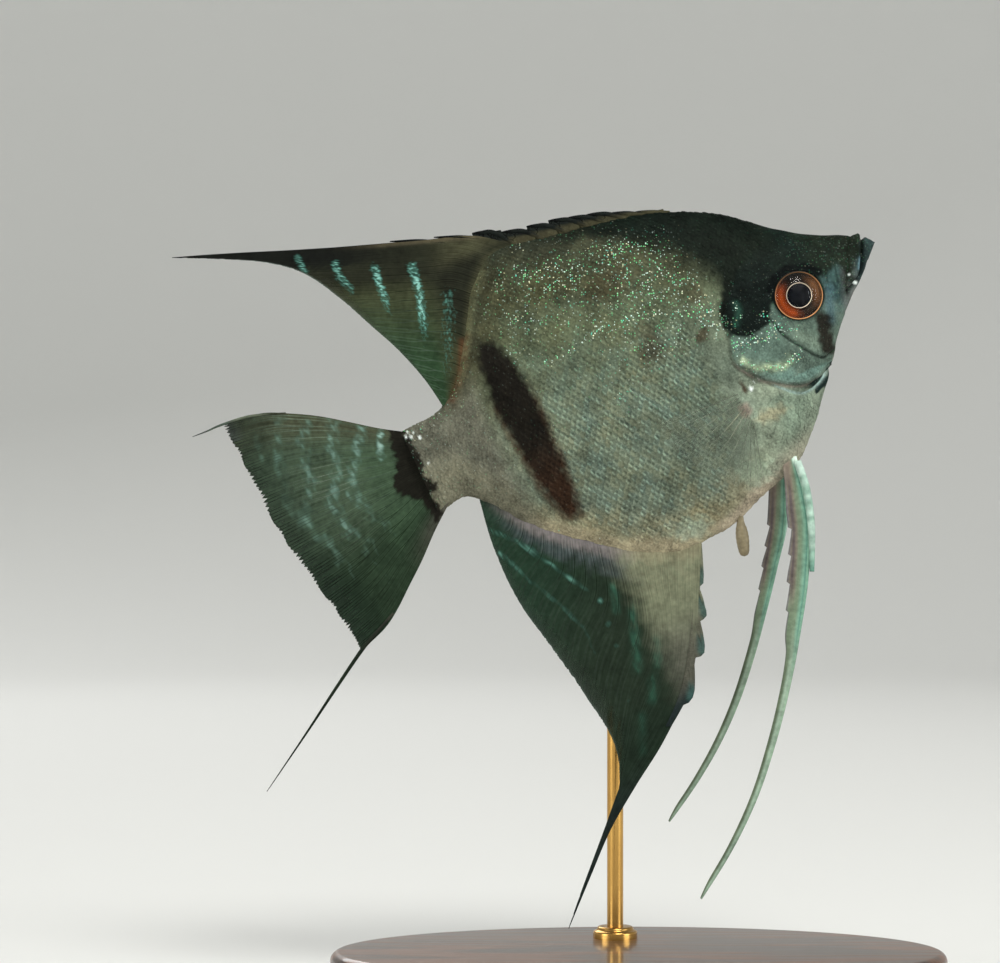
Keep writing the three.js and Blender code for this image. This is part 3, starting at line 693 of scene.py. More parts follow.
def hide(s, z):
    """The colour of skin and scales at s behind the snout and z up."""
    s, z = seen(s, z)
    colour = flank_colour(s, z)
    near = s < 27
    colour[near] = head_colour(s[near], z[near], colour[near])
    below = back_edge(s) - z + 0.7 * ripple(s, z, 2.2)
    colour = lay(
        colour, NAPE, 0.95 * ease(1.5, 0.3, below / NAPE_DEPTH(s)) * ease(27, 31, s) * ease(60, 32, s),
    )
    near = s < 33
    sn, zn = s[near], z[near]
    head = signed(sn, zn, DARK_HEAD) + 0.35 * ripple(sn, zn, 1.1)
    soft = 0.4 + 2.4 * ease(2.5, 6.5, zn) * ease(20, 24, sn) + 0.5 * ease(11, 8, sn)
    dark = lay_all(
        plain(NAPE * 0.8, sn),
        (SNOUT_DARK, ease(12, 7, sn)),
        (BLACK, 0.9 * ease(7, 2, zn) * ease(14, 17, sn)),
        (paint(46, 84, 70), 0.45 * brush(sn, zn, BEHIND_EYE, 0.5)),
    )
    tone = colour[near]
    tone = tone + (dark - tone) * (0.96 * ease(-soft, soft, head))[:, None]
    # A black crescent just over the eye is painted shadow of the skin above it.
    tone = lay(tone, BLACK, 0.95 * ease(0.9, 0.35, distance(sn, zn, BROW_SHADOW)))
    colour[near] = lay(tone, BLACK, 0.9 * bell(round_eye(sn, zn) - 1.0, 0.09))
    inside = signed(s, z, REAR_BAR)
    bar = ease(-0.9, 0.9, inside + 0.35 * ripple(s, z, 1.1) + 0.25 * ripple(s, 0.3 * z, 0.5))
    colour = lay_all(
        colour,
        (lay(BLACK, BAR_RUST, 0.2), 0.93 * stroke(s, z, CHEEK_BAR, 0.5, 1.5)),
        (lay(plain(BAR_CORE, s), BAR_RUST, 0.55 * ease(-3, -15, z)), bar),
        (BAR_RUST, 0.5 * bell(inside, 0.5) * ease(6, -2, z)),
        (BAR_CORE, tail_bar(s, z)),
    )
    for at, size, strength, tint in SPOTS:
        spot = np.hypot((s - at[0]) / size[0], (z - at[1]) / size[1]) + 0.25 * ripple(s, z, 0.8)
        colour = lay(colour, tint, strength * ease(1.2, 0.4, spot))
    return colour


# %% [markdown]
# ## Shader groups
#
# Every finish on a fish is broken up by fine detail: pigment cells in the skin, rays in the
# fins, grain in the wood. Effects that several finishes share are node groups. A group gives
# colours and masks only, so each material still holds its own shader.

# %% Node helpers
def add(tree, kind, inputs=None, **settings):
    """A shader node with its settings; inputs are numbers, colours or other nodes' outputs."""
    made = tree.nodes.new("ShaderNode" + kind)
    for name, value in settings.items():
        setattr(made, name, value)
    for name, value in (inputs or {}).items():
        if isinstance(value, bpy.types.NodeSocket):
            tree.links.new(value, made.inputs[name])
        else:
            made.inputs[name].default_value = value
    return made


def sum_of(tree, operation, a, b=0.0, c=0.0, clamp=False):
    """A number worked out from others."""
    return add(tree, "Math", {0: a, 1: b, 2: c}, operation=operation, use_clamp=clamp).outputs[0]


def blend(tree, factor, a, b, way="MIX"):
    """One colour over another."""
    made = add(tree, "Mix", {0: factor, 6: a, 7: b}, data_type="RGBA", blend_type=way)
    return made.outputs[2]


def times(tree, a, b, clamp=False):
    """Two numbers multiplied."""
    return sum_of(tree, "MULTIPLY", a, b, clamp=clamp)


def scaled(tree, value, by, plus, clamp=False):
    """A number multiplied by one number, with another added."""
    return sum_of(tree, "MULTIPLY_ADD", value, by, plus, clamp)


def rgba(colour):
    """A colour for a socket."""
    return (*[float(c) for c in colour], 1.0)


def toned(tree, colour, tone):
    """A colour made lighter or darker by a number."""
    grey = add(tree, "CombineColor", {0: tone, 1: tone, 2: tone}).outputs[0]
    return blend(tree, 1.0, colour, grey, "MULTIPLY")


def noise(tree, place, scale, detail, roughness=0.5):
    """Cloudy noise, from 0 to 1; with no place it is stretched over the whole object."""
    inputs = {"Scale": scale, "Detail": detail, "Roughness": roughness}
    if place is not None:
        inputs["Vector"] = place
    return add(tree, "TexNoise", inputs).outputs["Fac"]


def ramp(tree, value, *stops):
    """The colour that a number reads off a row of (place, colour) stops."""
    made = add(tree, "ValToRGB", {0: value})
    row = made.color_ramp.elements
    for end in (0, -1):
        row[end].position, row[end].color = stops[end][0], rgba(stops[end][1])
    for place, tint in stops[1:-1]:
        row.new(place).color = rgba(tint)
    return made.outputs["Color"]


def number_of(tree, name):
    """A number kept on the points of the mesh."""
    return add(tree, "Attribute", attribute_name=name).outputs["Fac"]


def colour_of(tree, name):
    """A colour kept on the points of the mesh."""
    return add(tree, "Attribute", attribute_name=name).outputs["Color"]


def new_group(name, inputs, outputs):
    """An empty node group with named sockets, what it is given and what it gives."""
    kinds = {"colour": "NodeSocketColor", "number": "NodeSocketFloat", "vector": "NodeSocketVector"}
    tree = bpy.data.node_groups.new(name, "ShaderNodeTree")
    for label, kind, value in inputs:
        socket = tree.interface.new_socket(name=label, in_out="INPUT", socket_type=kinds[kind])
        if value is not None:
            socket.default_value = value
    for label, kind in outputs:
        tree.interface.new_socket(name=label, in_out="OUTPUT", socket_type=kinds[kind])
    return tree, tree.nodes.new("NodeGroupInput").outputs, tree.nodes.new("NodeGroupOutput").inputs


def use(tree, group, **inputs):
    """A group placed in a material with its own values."""
    made = tree.nodes.new("ShaderNodeGroup")
    made.node_tree = group
    for name, value in inputs.items():
        socket = made.inputs[name.replace("_", " ")]
        if isinstance(value, bpy.types.NodeSocket):
            tree.links.new(value, socket)
        else:
            socket.default_value = value
    return made.outputs


def new_finish(name, **settings):
    """A material with one shader; settings are the shader's plain numbers and colours."""
    made = bpy.data.materials.new(name)
    made.use_nodes = True
    tree = made.node_tree
    shader = tree.nodes["Principled BSDF"]
    for label, value in settings.items():
        shader.inputs[label.replace("_", " ")].default_value = value
    return made, tree, shader


def wire(tree, shader, colour=None, roughness=None, height=None, bump=0.3, reach=0.0002, **others):
    """Outputs wired to the shader's sockets, a height through a bump node."""
    if colour is not None:
        tree.links.new(colour, shader.inputs["Base Color"])
    if roughness is not None:
        tree.links.new(roughness, shader.inputs["Roughness"])
    if height is not None:
        raised = add(tree, "Bump", {"Strength": bump, "Distance": reach, "Height": height})
        tree.links.new(raised.outputs["Normal"], shader.inputs["Normal"])
    for name, value in others.items():
        tree.links.new(value, shader.inputs[name.replace("_", " ")])


# %% Group: pigment
pigment, given, gives = new_group(
    "Pigment",
    [("Colour", "colour", None), ("Fineness", "number", 3000.0), ("Depth", "number", 0.4)],
    [("Colour", "colour"), ("Height", "number")],
)
place = add(pigment, "TexCoord").outputs["Object"]
cells = noise(pigment, place, given["Fineness"], 4.0)
both = sum_of(pigment, "ADD", cells, noise(pigment, place, 350.0, 3.0))
spread = times(pigment, sum_of(pigment, "SUBTRACT", both, 1.0), given["Depth"])
tone = scaled(pigment, spread, 3.0, 1.0)
pigment.links.new(toned(pigment, given["Colour"], tone), gives["Colour"])
pigment.links.new(cells, gives["Height"])

# %% Group: glints
glints, given, gives = new_group(
    "Glints",
    [("Fineness", "number", 2500.0), ("Amount", "number", 0.2), ("Size", "number", 0.3)],
    [("Mask", "number"), ("Colour", "colour")],
)
place = add(glints, "TexCoord").outputs["Object"]
grains = add(glints, "TexVoronoi", {"Vector": place, "Scale": given["Fineness"]})
parts = add(glints, "SeparateColor", {0: grains.outputs["Color"]})
chosen = sum_of(glints, "LESS_THAN", parts.outputs[0], given["Amount"])
close = sum_of(glints, "LESS_THAN", grains.outputs["Distance"], given["Size"])
chosen = times(glints, chosen, scaled(glints, parts.outputs[2], 0.75, 0.25))
hues = ramp(
    glints, parts.outputs[1], (0.0, paint(96, 214, 190)), (0.35, paint(120, 230, 140)),
    (0.7, paint(215, 240, 235)), (1.0, paint(240, 236, 190)),
)
glints.links.new(times(glints, chosen, close), gives["Mask"])
glints.links.new(hues, gives["Colour"])

# %% Group: streaks along rays
streaks, given, gives = new_group(
    "Ray streaks",
    [
        ("Across", "number", 0.0), ("Along", "number", 0.0), ("Count", "number", 60.0),
        ("Stretch", "number", 6.0),
    ],
    [("Fine", "number"), ("Broad", "number")],
)
x = times(streaks, given["Across"], given["Count"])
y = times(streaks, given["Along"], given["Stretch"])
drawn = add(streaks, "CombineXYZ", {0: x, 1: y}).outputs[0]
streaks.links.new(noise(streaks, drawn, 1.0, 3.0, 0.6), gives["Fine"])
streaks.links.new(noise(streaks, drawn, 0.22, 2.0), gives["Broad"])

# %% Group: ray lines
ray_lines, given, gives = new_group(
    "Ray lines",
    [
        ("Across", "number", 0.0), ("Along", "number", 0.0), ("Count", "number", 20.0),
        ("First fork", "number", 0.4), ("Second fork", "number", 0.7),
    ],
    [("Line", "number"), ("Edge", "number")],
)
phase = sum_of(ray_lines, "FRACT", times(ray_lines, given["Across"], given["Count"]))
gap = sum_of(ray_lines, "ABSOLUTE", sum_of(ray_lines, "SUBTRACT", phase, 0.5))
for fork, reach in (("First fork", 0.18), ("Second fork", 0.085)):
    since = sum_of(ray_lines, "SUBTRACT", given["Along"], given[fork])
    opened = add(
        ray_lines, "MapRange", {"Value": since, "From Max": 0.2}, interpolation_type="SMOOTHSTEP",
    ).outputs[0]
    gap = sum_of(ray_lines, "ABSOLUTE", scaled(ray_lines, opened, -reach, gap))
steep = scaled(ray_lines, given["Along"], -18.0, -16.0)
thin_line = scaled(ray_lines, gap, steep, 1.4, clamp=True)
pale_edge = scaled(ray_lines, gap, times(ray_lines, steep, 0.55), 1.7, clamp=True)
ray_lines.links.new(thin_line, gives["Line"])
ray_lines.links.new(sum_of(ray_lines, "SUBTRACT", pale_edge, thin_line), gives["Edge"])

# %% [markdown]
# ## Skin
#
# One closed skin runs from the lips to the root of the tail, so head, gill covers and trunk
# share it with no seam. Its stations stand closest on the head, where the folds are finest.
# The finish is wet pigment: mottled colour with painted glints for its silver, under a soft, low gloss.

# %% Skin finish
skin_finish, tree, shader = new_finish("wet skin", Specular_IOR_Level=0.035)
speckled = use(tree, pigment, Colour=colour_of(tree, "Hide"), Fineness=2600.0, Depth=0.42)
sparkle = number_of(tree, "sparkle")
crowding = scaled(tree, sparkle, 0.35, 0.35)
glitter = use(tree, glints, Fineness=3600.0, Amount=crowding, Size=0.44)
twinkle = times(tree, glitter["Mask"], times(tree, sparkle, 1.4), clamp=True)
coarse = use(tree, pigment, Colour=speckled["Colour"], Fineness=1500.0, Depth=0.22)
skin_colour = blend(tree, twinkle, coarse["Colour"], glitter["Colour"])
matt = scaled(tree, speckled["Height"], 0.2, 0.5)
wire(tree, shader, skin_colour, matt, speckled["Height"], bump=0.35, reach=0.0001)


# %% Skin mesh
LATERAL_GLINTS = [[25.0, 1.4], [28.4, 2.2], [34.4, 5.1], [42.5, 5.9], [51.4, 4.7]]
GLINT_SPOTS = ((42.1, 6.4), (38.7, 1.6), (47.4, 22.6), (43.3, -3.9), (60.6, -19.2), (55.6, -23.2))
# Each shine on the head: its strength, its path and its width.
HEAD_SHINES = (
    (1.0, GILL_RIB, 0.6),
    (1.0, [[24.4, -4.6], [22.6, -4.8], [20.8, -5.4], [19.2, -5.6]], 1.1),
    (1.0, [[18.6, -2.6], [18.0, -4.2], [15.8, -6.2]], 0.8),
    (0.7, BEHIND_EYE, 0.45),
)


def sparkle_at(s, z):
    """How richly the skin and scales glitter at a point of the side, 0 to 1."""
    s, z = seen(s, z)
    below = back_edge(s) - z
    clusters = ease(-0.6, 0.8, ripple(s, z, 5.0) + 0.6 * ripple(s + 9, z, 2.4))
    rich = ease(1.5, 4, below) * ease(19, 9, below) * ease(24, 30, s) * ease(60, 52, s)
    rich = 0.62 * rich * (0.32 + 0.68 * clusters)
    middle = 0.4 * ease(6.5, 2.0, np.abs(z - 1.5)) * ease(23, 26, s) * ease(46, 36, s)
    rich = rich + middle * (0.3 + 0.7 * clusters)
    rich = rich + 0.8 * brush(s, z, LATERAL_GLINTS, 0.45)
    rich = rich + 0.9 * brush(s, z, [[26.2, 2.6], [26.6, -0.4]], 1.2)
    rich = rich + 0.3 * ease(62, 66, s) * bell(below, 1.4) + 0.1 * ease(-16, -4, z) * ease(30, 34, s)
    rich = rich + 0.4 * bell(np.hypot((s - 28.6) / 1.2, z - 6.6), 3.2)
    for at in GLINT_SPOTS:
        rich = rich + 0.6 * bell(np.hypot(s - at[0], z - at[1]), 0.9)
    near = s < 28
    sn, zn = s[near], z[near]
    shine = sum(strength * brush(sn, zn, path, width) for strength, path, width in HEAD_SHINES)
    shine += 0.6 * bell(np.hypot(sn - 17.4, zn + 10.0), 1.0)
    rich[near] = mix(0.15, 1.0, ease(23.4, 24.4, sn)) * rich[near] + shine + 0.03 * ease(8, 2, zn)
    rich = rich * (1 - 0.95 * ease(-0.8, 0.5, signed(s, z, REAR_BAR)))
    return np.clip(0.02 + rich, 0, 1)


AROUND = 171
stations = np.concatenate([np.arange(SNOUT, 2, 0.1), np.arange(2, 27, 0.16), np.linspace(27, TAIL_ROOT, 108)])
s_grid, lean_grid = np.meshgrid(stations, np.linspace(-math.pi / 2, math.pi / 2, AROUND), indexing="ij")
flanks = [surface(s_grid, lean_grid, RIGHT), surface(s_grid[:, 1:-1], lean_grid[:, 1:-1], LEFT)[:, ::-1]]
hoops = np.concatenate(flanks, axis=1)
up_grid = section(s_grid, lean_grid)[1]
up_hoops = np.concatenate([up_grid, up_grid[:, -2:0:-1]], axis=1)
count, around = hoops.shape[:2]
points = np.concatenate([hoops.reshape(-1, 3), hoops[0].mean(0)[None], hoops[-1].mean(0)[None]])
s_all = np.concatenate([np.repeat(stations, around), [SNOUT, TAIL_ROOT]])
z_all = np.concatenate([up_hoops.ravel(), [0.5, -2]])
numbers = {"Hide": hide(s_all, z_all), "sparkle": sparkle_at(s_all, z_all)}
FLESH = ("head", "upper_jaw", "lower_jaw", "gill_cover_right", "gill_cover_left", "trunk", "tail_stem")
build("skin", (points, tube_faces(count, around), numbers), skin_finish, FLESH)

# %% [markdown]
# ## Scales
#
# Angelfish scales are small, thin and toothed, and lie like roof tiles from head to tail. Hair
# tools or instances would be lost on export, so each scale is a real shield of mesh. Its root
# is sunk in the skin and its free edge stands about a tenth of a millimetre proud. A table
# turns the distance walked round the body into a place on it, so the rows keep their width.

# %% Walks round the body
S_TABLE = np.linspace(SNOUT, TAIL_ROOT, 160)
LEAN_TABLE = np.linspace(-math.pi / 2, math.pi / 2, 241)
Q_TABLE = np.linspace(-36, 30, 265)
sides, ups = section(S_TABLE[:, None], LEAN_TABLE[None])
walks = np.cumsum(np.hypot(np.diff(sides, axis=1), np.diff(ups, axis=1)), axis=1)
walks = np.column_stack([np.zeros(len(S_TABLE)), walks])
walks -= walks[:, [len(LEAN_TABLE) // 2]]
LEAN_AT = np.stack([np.interp(Q_TABLE, w, LEAN_TABLE) for w in walks])


def lean_at(s, q):
    """The lean at a walk of q millimetres up the side from the widest line."""
    i = np.clip((s - SNOUT) / (TAIL_ROOT - SNOUT), 0, 1) * (len(S_TABLE) - 1.001)
    j = np.clip((q - Q_TABLE[0]) / (Q_TABLE[-1] - Q_TABLE[0]), 0, 1) * (len(Q_TABLE) - 1.001)
    i0, j0 = i.astype(int), j.astype(int)
    f, g = i - i0, j - j0
    low = mix(LEAN_AT[i0, j0], LEAN_AT[i0 + 1, j0], f)
    return mix(low, mix(LEAN_AT[i0, j0 + 1], LEAN_AT[i0 + 1, j0 + 1], f), g)


def paced(pace, start, end):
    """Places from start to end, each a pace beyond the last."""
    places = [start]
    while places[-1] < end:
        places.append(places[-1] + float(pace(places[-1])))
    return np.array(places)


def lattice(length, gap, s_range, q_range):
    """Roots of scales in rows, every second row half a scale further back."""
    columns, rows = paced(length, *s_range), paced(gap, *q_range)
    s, q = np.meshgrid(columns, rows, indexing="ij")
    s = s + 0.5 * length(s) * (np.arange(len(rows)) % 2) + rng.normal(0, 0.05, s.shape)
    q = q + rng.normal(0, 0.03, q.shape)
    lowest, highest = (np.interp(s, S_TABLE, walks[:, k]) for k in (0, -1))
    kept = (q > lowest + 0.3) & (q < highest - 0.3) & (s < TAIL_ROOT - 0.4)
    return s[kept], q[kept]


# %% One coat of scales
SEGMENTS = 10
SCALE_THICK = 0.05
BAKE_SCALE = 0.0015
SPARK_TINTS = np.array([
    paint(214, 236, 222), paint(206, 232, 220), paint(150, 214, 200), paint(150, 206, 150),
    paint(222, 216, 170),
])


def coat(s0, q0, hand, length, gap, proud):
    """Shields with their roots at s0, q0: points, faces, numbers and their bake patches."""
    count = len(s0)
    turn = 2 * np.pi * np.arange(SEGMENTS) / SEGMENTS
    t_rim, c_rim = np.where(np.cos(turn) > 0, 0.74, 0.62) * np.cos(turn), np.sin(turn)
    t = np.concatenate([[0.06], 0.6 * t_rim, t_rim, t_rim])[None]
    c = np.concatenate([[0.0], 0.6 * c_rim, c_rim, c_rim])[None]
    dome = np.concatenate([[1.0], np.full(SEGMENTS, 0.66), np.zeros(SEGMENTS), np.zeros(SEGMENTS)])
    under = np.repeat([0.0, 1.0], [2 * SEGMENTS + 1, SEGMENTS])
    sway = rng.normal(0, 0.05, (count, 1))
    tilt, roll = rng.normal(1, 0.22, (count, 1)), rng.normal(0, 0.03, (count, 1))
    long, tall = length(s0)[:, None], gap(q0)[:, None] * 1.04
    s = s0[:, None] + t * long * np.cos(sway) - c * tall * np.sin(sway)
    q = q0[:, None] + t * long * np.sin(sway) + c * tall * np.cos(sway)
    lift = proud * (-0.45 + 1.5 * tilt * (t + 0.62) / 1.36 + 0.55 * dome) + roll * c - SCALE_THICK * under
    s = np.minimum(s, TAIL_ROOT)
    lean = lean_at(s, q)
    points = surface(s.ravel(), lean.ravel(), hand, lift.ravel())
    z = section(s.ravel(), lean.ravel())[1]
    size = s.shape[1]
    k = np.arange(SEGMENTS)
    after = (k + 1) % SEGMENTS
    fan = np.column_stack([np.zeros(SEGMENTS, int), 1 + k, 1 + after])
    inner = np.column_stack([1 + k, 1 + k + SEGMENTS, 1 + after + SEGMENTS, 1 + after])
    wall = inner + SEGMENTS
    floor = (1 + 2 * SEGMENTS + k)[None, ::-1]
    start = (np.arange(count) * size)[:, None, None]
    faces = [(f[None] + start).reshape(-1, f.shape[1]) for f in (fan, np.concatenate([inner, wall]), floor)]
    z0 = section(s0, lean_at(s0, q0))[1]
    rich = sparkle_at(s0, z0)
    lit = np.clip(1.6 * rich * rng.random(count) ** 4.5, 0, 1)
    tints = SPARK_TINTS[rng.integers(0, len(SPARK_TINTS), count)]
    each = lambda values: np.repeat(values, size, axis=0)
    # Strength of each scale's dark dash and pale oval, which carry painted shadow and highlight.
    dots = (0.5 + 0.5 * ease(7, -5, z0)) * ease(1.0, 4.5, z0 - belly_edge(s0))
    dots = dots * (0.25 + 0.75 * ease(64, 54, s0))
    dots = dots * ease(-1.6, 1.6, s0 - 30.0 - 0.4 * np.maximum(0, -13.6 - z0))
    numbers = {
        "Hide": hide(s.ravel(), z),
        "Spark": each(tints),
        "spark": each(lit),
        "sparkle": each(rich),
        "dots": each(dots),
        "luck": each(rng.random(count)),
        "along": np.repeat(t, count, axis=0).ravel(),
        "across": np.repeat(c, count, axis=0).ravel(),
    }
    root = np.column_stack([0.02 + 0.96 * s0 / BODY_SPAN, 0.5 + q0 / BODY_SPAN])
    on_scale = BAKE_SCALE * np.stack([np.repeat(t, count, axis=0), np.repeat(c, count, axis=0)], -1)
    bake = (root[:, None] + on_scale).reshape(-1, 2)
    return (points, faces, numbers), bake


# %% Scale finish
scale_finish, tree, shader = new_finish("scales", Specular_IOR_Level=0.035)
along, across = number_of(tree, "along"), number_of(tree, "across")
spark, luck = number_of(tree, "spark"), number_of(tree, "luck")
sparkle, dots = number_of(tree, "sparkle"), number_of(tree, "dots")
slanted = scaled(tree, across, -0.3, along)


def oval(tree, x, y, middle, long, tall):
    """1 in the middle of an oval of a scale, 0 outside it."""
    a = times(tree, sum_of(tree, "SUBTRACT", x, middle), 1 / long)
    b = times(tree, y, 1 / tall)
    squares = scaled(tree, a, a, times(tree, b, b))
    return times(tree, sum_of(tree, "SUBTRACT", 1.0, squares, clamp=True), 1.7, clamp=True)


def shade(tree, colour, factor, tint):
    """A colour multiplied by a tint where factor is 1."""
    return blend(tree, factor, colour, rgba(tint), "MULTIPLY")


speckled = use(tree, pigment, Colour=colour_of(tree, "Hide"), Fineness=3200.0, Depth=0.5)
uneven = scaled(tree, luck, 0.3, 0.87)
tinted = toned(tree, speckled["Colour"], uneven)
other = sum_of(tree, "FRACT", times(tree, luck, 13.7))
hue = blend(tree, other, rgba((1.07, 1.0, 0.92)), rgba((0.93, 1.0, 1.06)))
varied = blend(tree, times(tree, dots, 0.8, clamp=True), tinted, hue, "MULTIPLY")
# Dark dash at each scale's open root: dark pigment, partly painted shadow under the scale in front.
marked = times(tree, dots, scaled(tree, luck, 0.75, 0.25))
middle_of_mark = scaled(tree, other, 0.2, -0.02)
pocket_and_shadow = times(tree, oval(tree, slanted, across, middle_of_mark, 0.24, 0.62), marked)
dashed_and_shaded = shade(tree, varied, pocket_and_shadow, (0.5, 0.53, 0.53))
# Pale oval near the rear edge: a painted highlight where the raised edge catches the light.
highlight_strength = times(tree, dots, scaled(tree, other, 1.0, 0.1))
pearl = times(tree, oval(tree, slanted, across, 0.52, 0.18, 0.5), highlight_strength, clamp=True)
highlit = shade(tree, dashed_and_shaded, pearl, (1.5, 1.58, 1.55))
place_of_flash = scaled(tree, luck, 0.45, 0.1)
aside = scaled(tree, sum_of(tree, "FRACT", times(tree, luck, 7.31)), 1.1, -0.55)
off_middle = sum_of(tree, "ADD", across, aside)
flash = times(tree, oval(tree, slanted, off_middle, place_of_flash, 0.11, 0.22), spark, clamp=True)
crowding = scaled(tree, sparkle, 0.42, 0.03)
fine = use(tree, glints, Fineness=3600.0, Amount=crowding, Size=0.38)
grains_lit = times(tree, fine["Mask"], times(tree, sparkle, 1.5), clamp=True)
bright = blend(tree, flash, highlit, colour_of(tree, "Spark"))
scale_colour = blend(tree, grains_lit, bright, fine["Colour"])
gloss = scaled(tree, flash, -0.2, 0.55)
wire(tree, shader, scale_colour, gloss, speckled["Height"], bump=0.25, reach=0.00006)

# %% Coats
body_length = smooth([[12, 0.6], [22, 0.7], [30, 0.86], [44, 0.94], [58, 0.86], [68, 0.7], [75.5, 0.58]])
body_gap = smooth([[-32, 0.56], [-22, 0.66], [-8, 0.72], [4, 0.68], [14, 0.56], [26, 0.46]])
head_length = smooth([[8, 0.5], [16, 0.66], [25, 0.74]])
head_gap = smooth([[-20, 0.44], [-8, 0.46], [0, 0.44], [12, 0.4]])
s_body, q_body = lattice(body_length, body_gap, (12.5, TAIL_ROOT), (-34, 27))
s_head, q_head = lattice(head_length, head_gap, (8.5, 25.5), (-20, 14))


def height_of(s, q):
    return section(s, lean_at(s, q))[1]


s_seen, z_seen = seen(s_body, height_of(s_body, q_body))
gill = past_gill_edge(s_seen, z_seen)
on_body = (gill < -0.35) & (s_seen > 14.2 + 0.5 * np.abs(np.sin(3 * z_seen)))
on_body &= (distance(s_seen, z_seen, THROAT) > 0.6) & ~((s_seen < 17) & (z_seen < 0))
s_seen, z_seen = seen(s_head, height_of(s_head, q_head))
gill = past_gill_edge(s_seen, z_seen)
on_head = (gill > 0.55) & (round_eye(s_seen, z_seen) > 1.16)
on_head &= distance(s_seen, z_seen, CHEEK_FOLD) > 0.42
on_head &= s_seen - 0.35 * (z_seen + 4) > 9.6
for word, hand in BOTH_SIDES:
    for part, chosen in (("back", on_body & (q_body > -3)), ("belly", on_body & (q_body <= -3))):
        bit, bake = coat(s_body[chosen], q_body[chosen], hand, body_length, body_gap, 0.08)
        build(f"scales_{part}_{word}", bit, scale_finish, crease=55, bake=bake)
    bit, bake = coat(s_head[on_head], q_head[on_head], hand, head_length, head_gap, 0.05)
    build(f"scales_head_{word}", bit, scale_finish, crease=55, bake=bake)

# %% [markdown]
# ## Eyes
#
# The eye is the liveliest part of the model. A fish's iris is a shallow metallic dish round a
# big round pupil, through which the lens bulges. A painted ball would look flat, so the dish,
# the bright ring, the lens and the pale rim are turned as one profile, under a clear window.

# %% Eye shapes
EYE_CENTRE = np.array([13.85, 4.9, -1.95])
EYE_LONG, EYE_TALL = 3.95, 3.75
EYE_FORWARD = math.radians(13)
EYE_SIDES = 96


def turned(profile, hand):
    """An oval turned part of the eye from (share of the radius, outward) pairs."""
    profile = np.array(profile, float)
    angle = 2 * np.pi * np.arange(EYE_SIDES) / EYE_SIDES
    share, outward = profile[1:-1, 0][:, None], profile[1:-1, 1][:, None]
    forward, up = EYE_LONG * share * np.cos(angle), EYE_TALL * share * np.sin(angle)
    forward, up = (np.concatenate([x.ravel(), [0, 0]]) for x in (forward, up))
    out = np.concatenate([np.repeat(outward.ravel(), EYE_SIDES), [profile[0, 1], profile[-1, 1]]])
    c, s = math.cos(EYE_FORWARD), math.sin(EYE_FORWARD)
    points = EYE_CENTRE + np.column_stack([-c * forward - s * out, -s * forward + c * out, up])
    points[:, 1] *= hand
    rings = len(profile) - 2
    numbers = {
        "ring": np.concatenate([np.repeat(share.ravel(), EYE_SIDES), [0, profile[-1, 0]]]),
        "forward": np.concatenate([np.tile(np.cos(angle), rings), [0, 0]]),
        "upward": np.concatenate([np.tile(np.sin(angle), rings), [0, 0]]),
    }
    return points, tube_faces(rings, EYE_SIDES), numbers


PUPIL, PUPIL_RING, WALL_FROM = 0.475, 0.478, 0.94
lens = [(r, 0.86 + 0.5 * (1 - (r / PUPIL) ** 2)) for r in np.linspace(0, PUPIL, 10)]
ball = lens + [(0.482, 0.93), (0.5, 0.96), (0.516, 0.94), (0.528, 0.86), (0.56, 0.8)]
ball += [(r, 0.74 + 0.5 * (r - 0.7) ** 2) for r in np.linspace(0.6, 0.88, 8)]
ball += [(0.9, 0.8), (0.915, 0.86), (0.935, 0.86), (0.95, 0.78), (0.975, 0.6), (1, 0.2), (0.96, -0.4)]
ball += [(0.75, -0.9), (0.4, -1.2), (0, -1.3)]
WINDOW_RISE, WINDOW_THICK = 1.95, 0.12
window = [(r, WINDOW_RISE * math.sqrt(1 - r**2)) for r in np.linspace(0, 0.955, 16)]
window += [(r, WINDOW_RISE * math.sqrt(1 - r**2) - WINDOW_THICK) for r in np.linspace(0.95, 0, 12)]

# %% Eye finishes
eye_finish, tree, shader = new_finish("iris", Roughness=0.35, Specular_IOR_Level=0.08)
ring_of, forward = number_of(tree, "ring"), number_of(tree, "forward")
facing = scaled(tree, forward, 0.5, 0.5)
upward = number_of(tree, "upward")
outward = times(tree, ring_of, 0.6)
fibre_place = add(tree, "CombineXYZ", {0: forward, 1: upward, 2: outward}).outputs[0]
fibres = noise(tree, fibre_place, 9.0, 5.0, 0.7)
shifted = scaled(tree, sum_of(tree, "SUBTRACT", fibres, 0.5), 0.35, facing)
iris = ramp(
    tree, shifted, (0.0, paint(150, 62, 20)), (0.16, paint(164, 70, 28)), (0.3, paint(96, 46, 24)),
    (0.44, paint(42, 32, 26)), (0.72, paint(48, 38, 30)), (0.88, paint(92, 60, 38)),
    (1.0, paint(116, 78, 50)),
)
depth = ramp(tree, ring_of, (0.5, (0.25,) * 3), (0.72, (1.0,) * 3), (0.84, (0.55,) * 3))
iris_colour = blend(tree, 1.0, iris, depth, "MULTIPLY")


def band(tree, value, start, end):
    """1 between start and end."""
    return times(tree, sum_of(tree, "GREATER_THAN", value, start), sum_of(tree, "LESS_THAN", value, end))


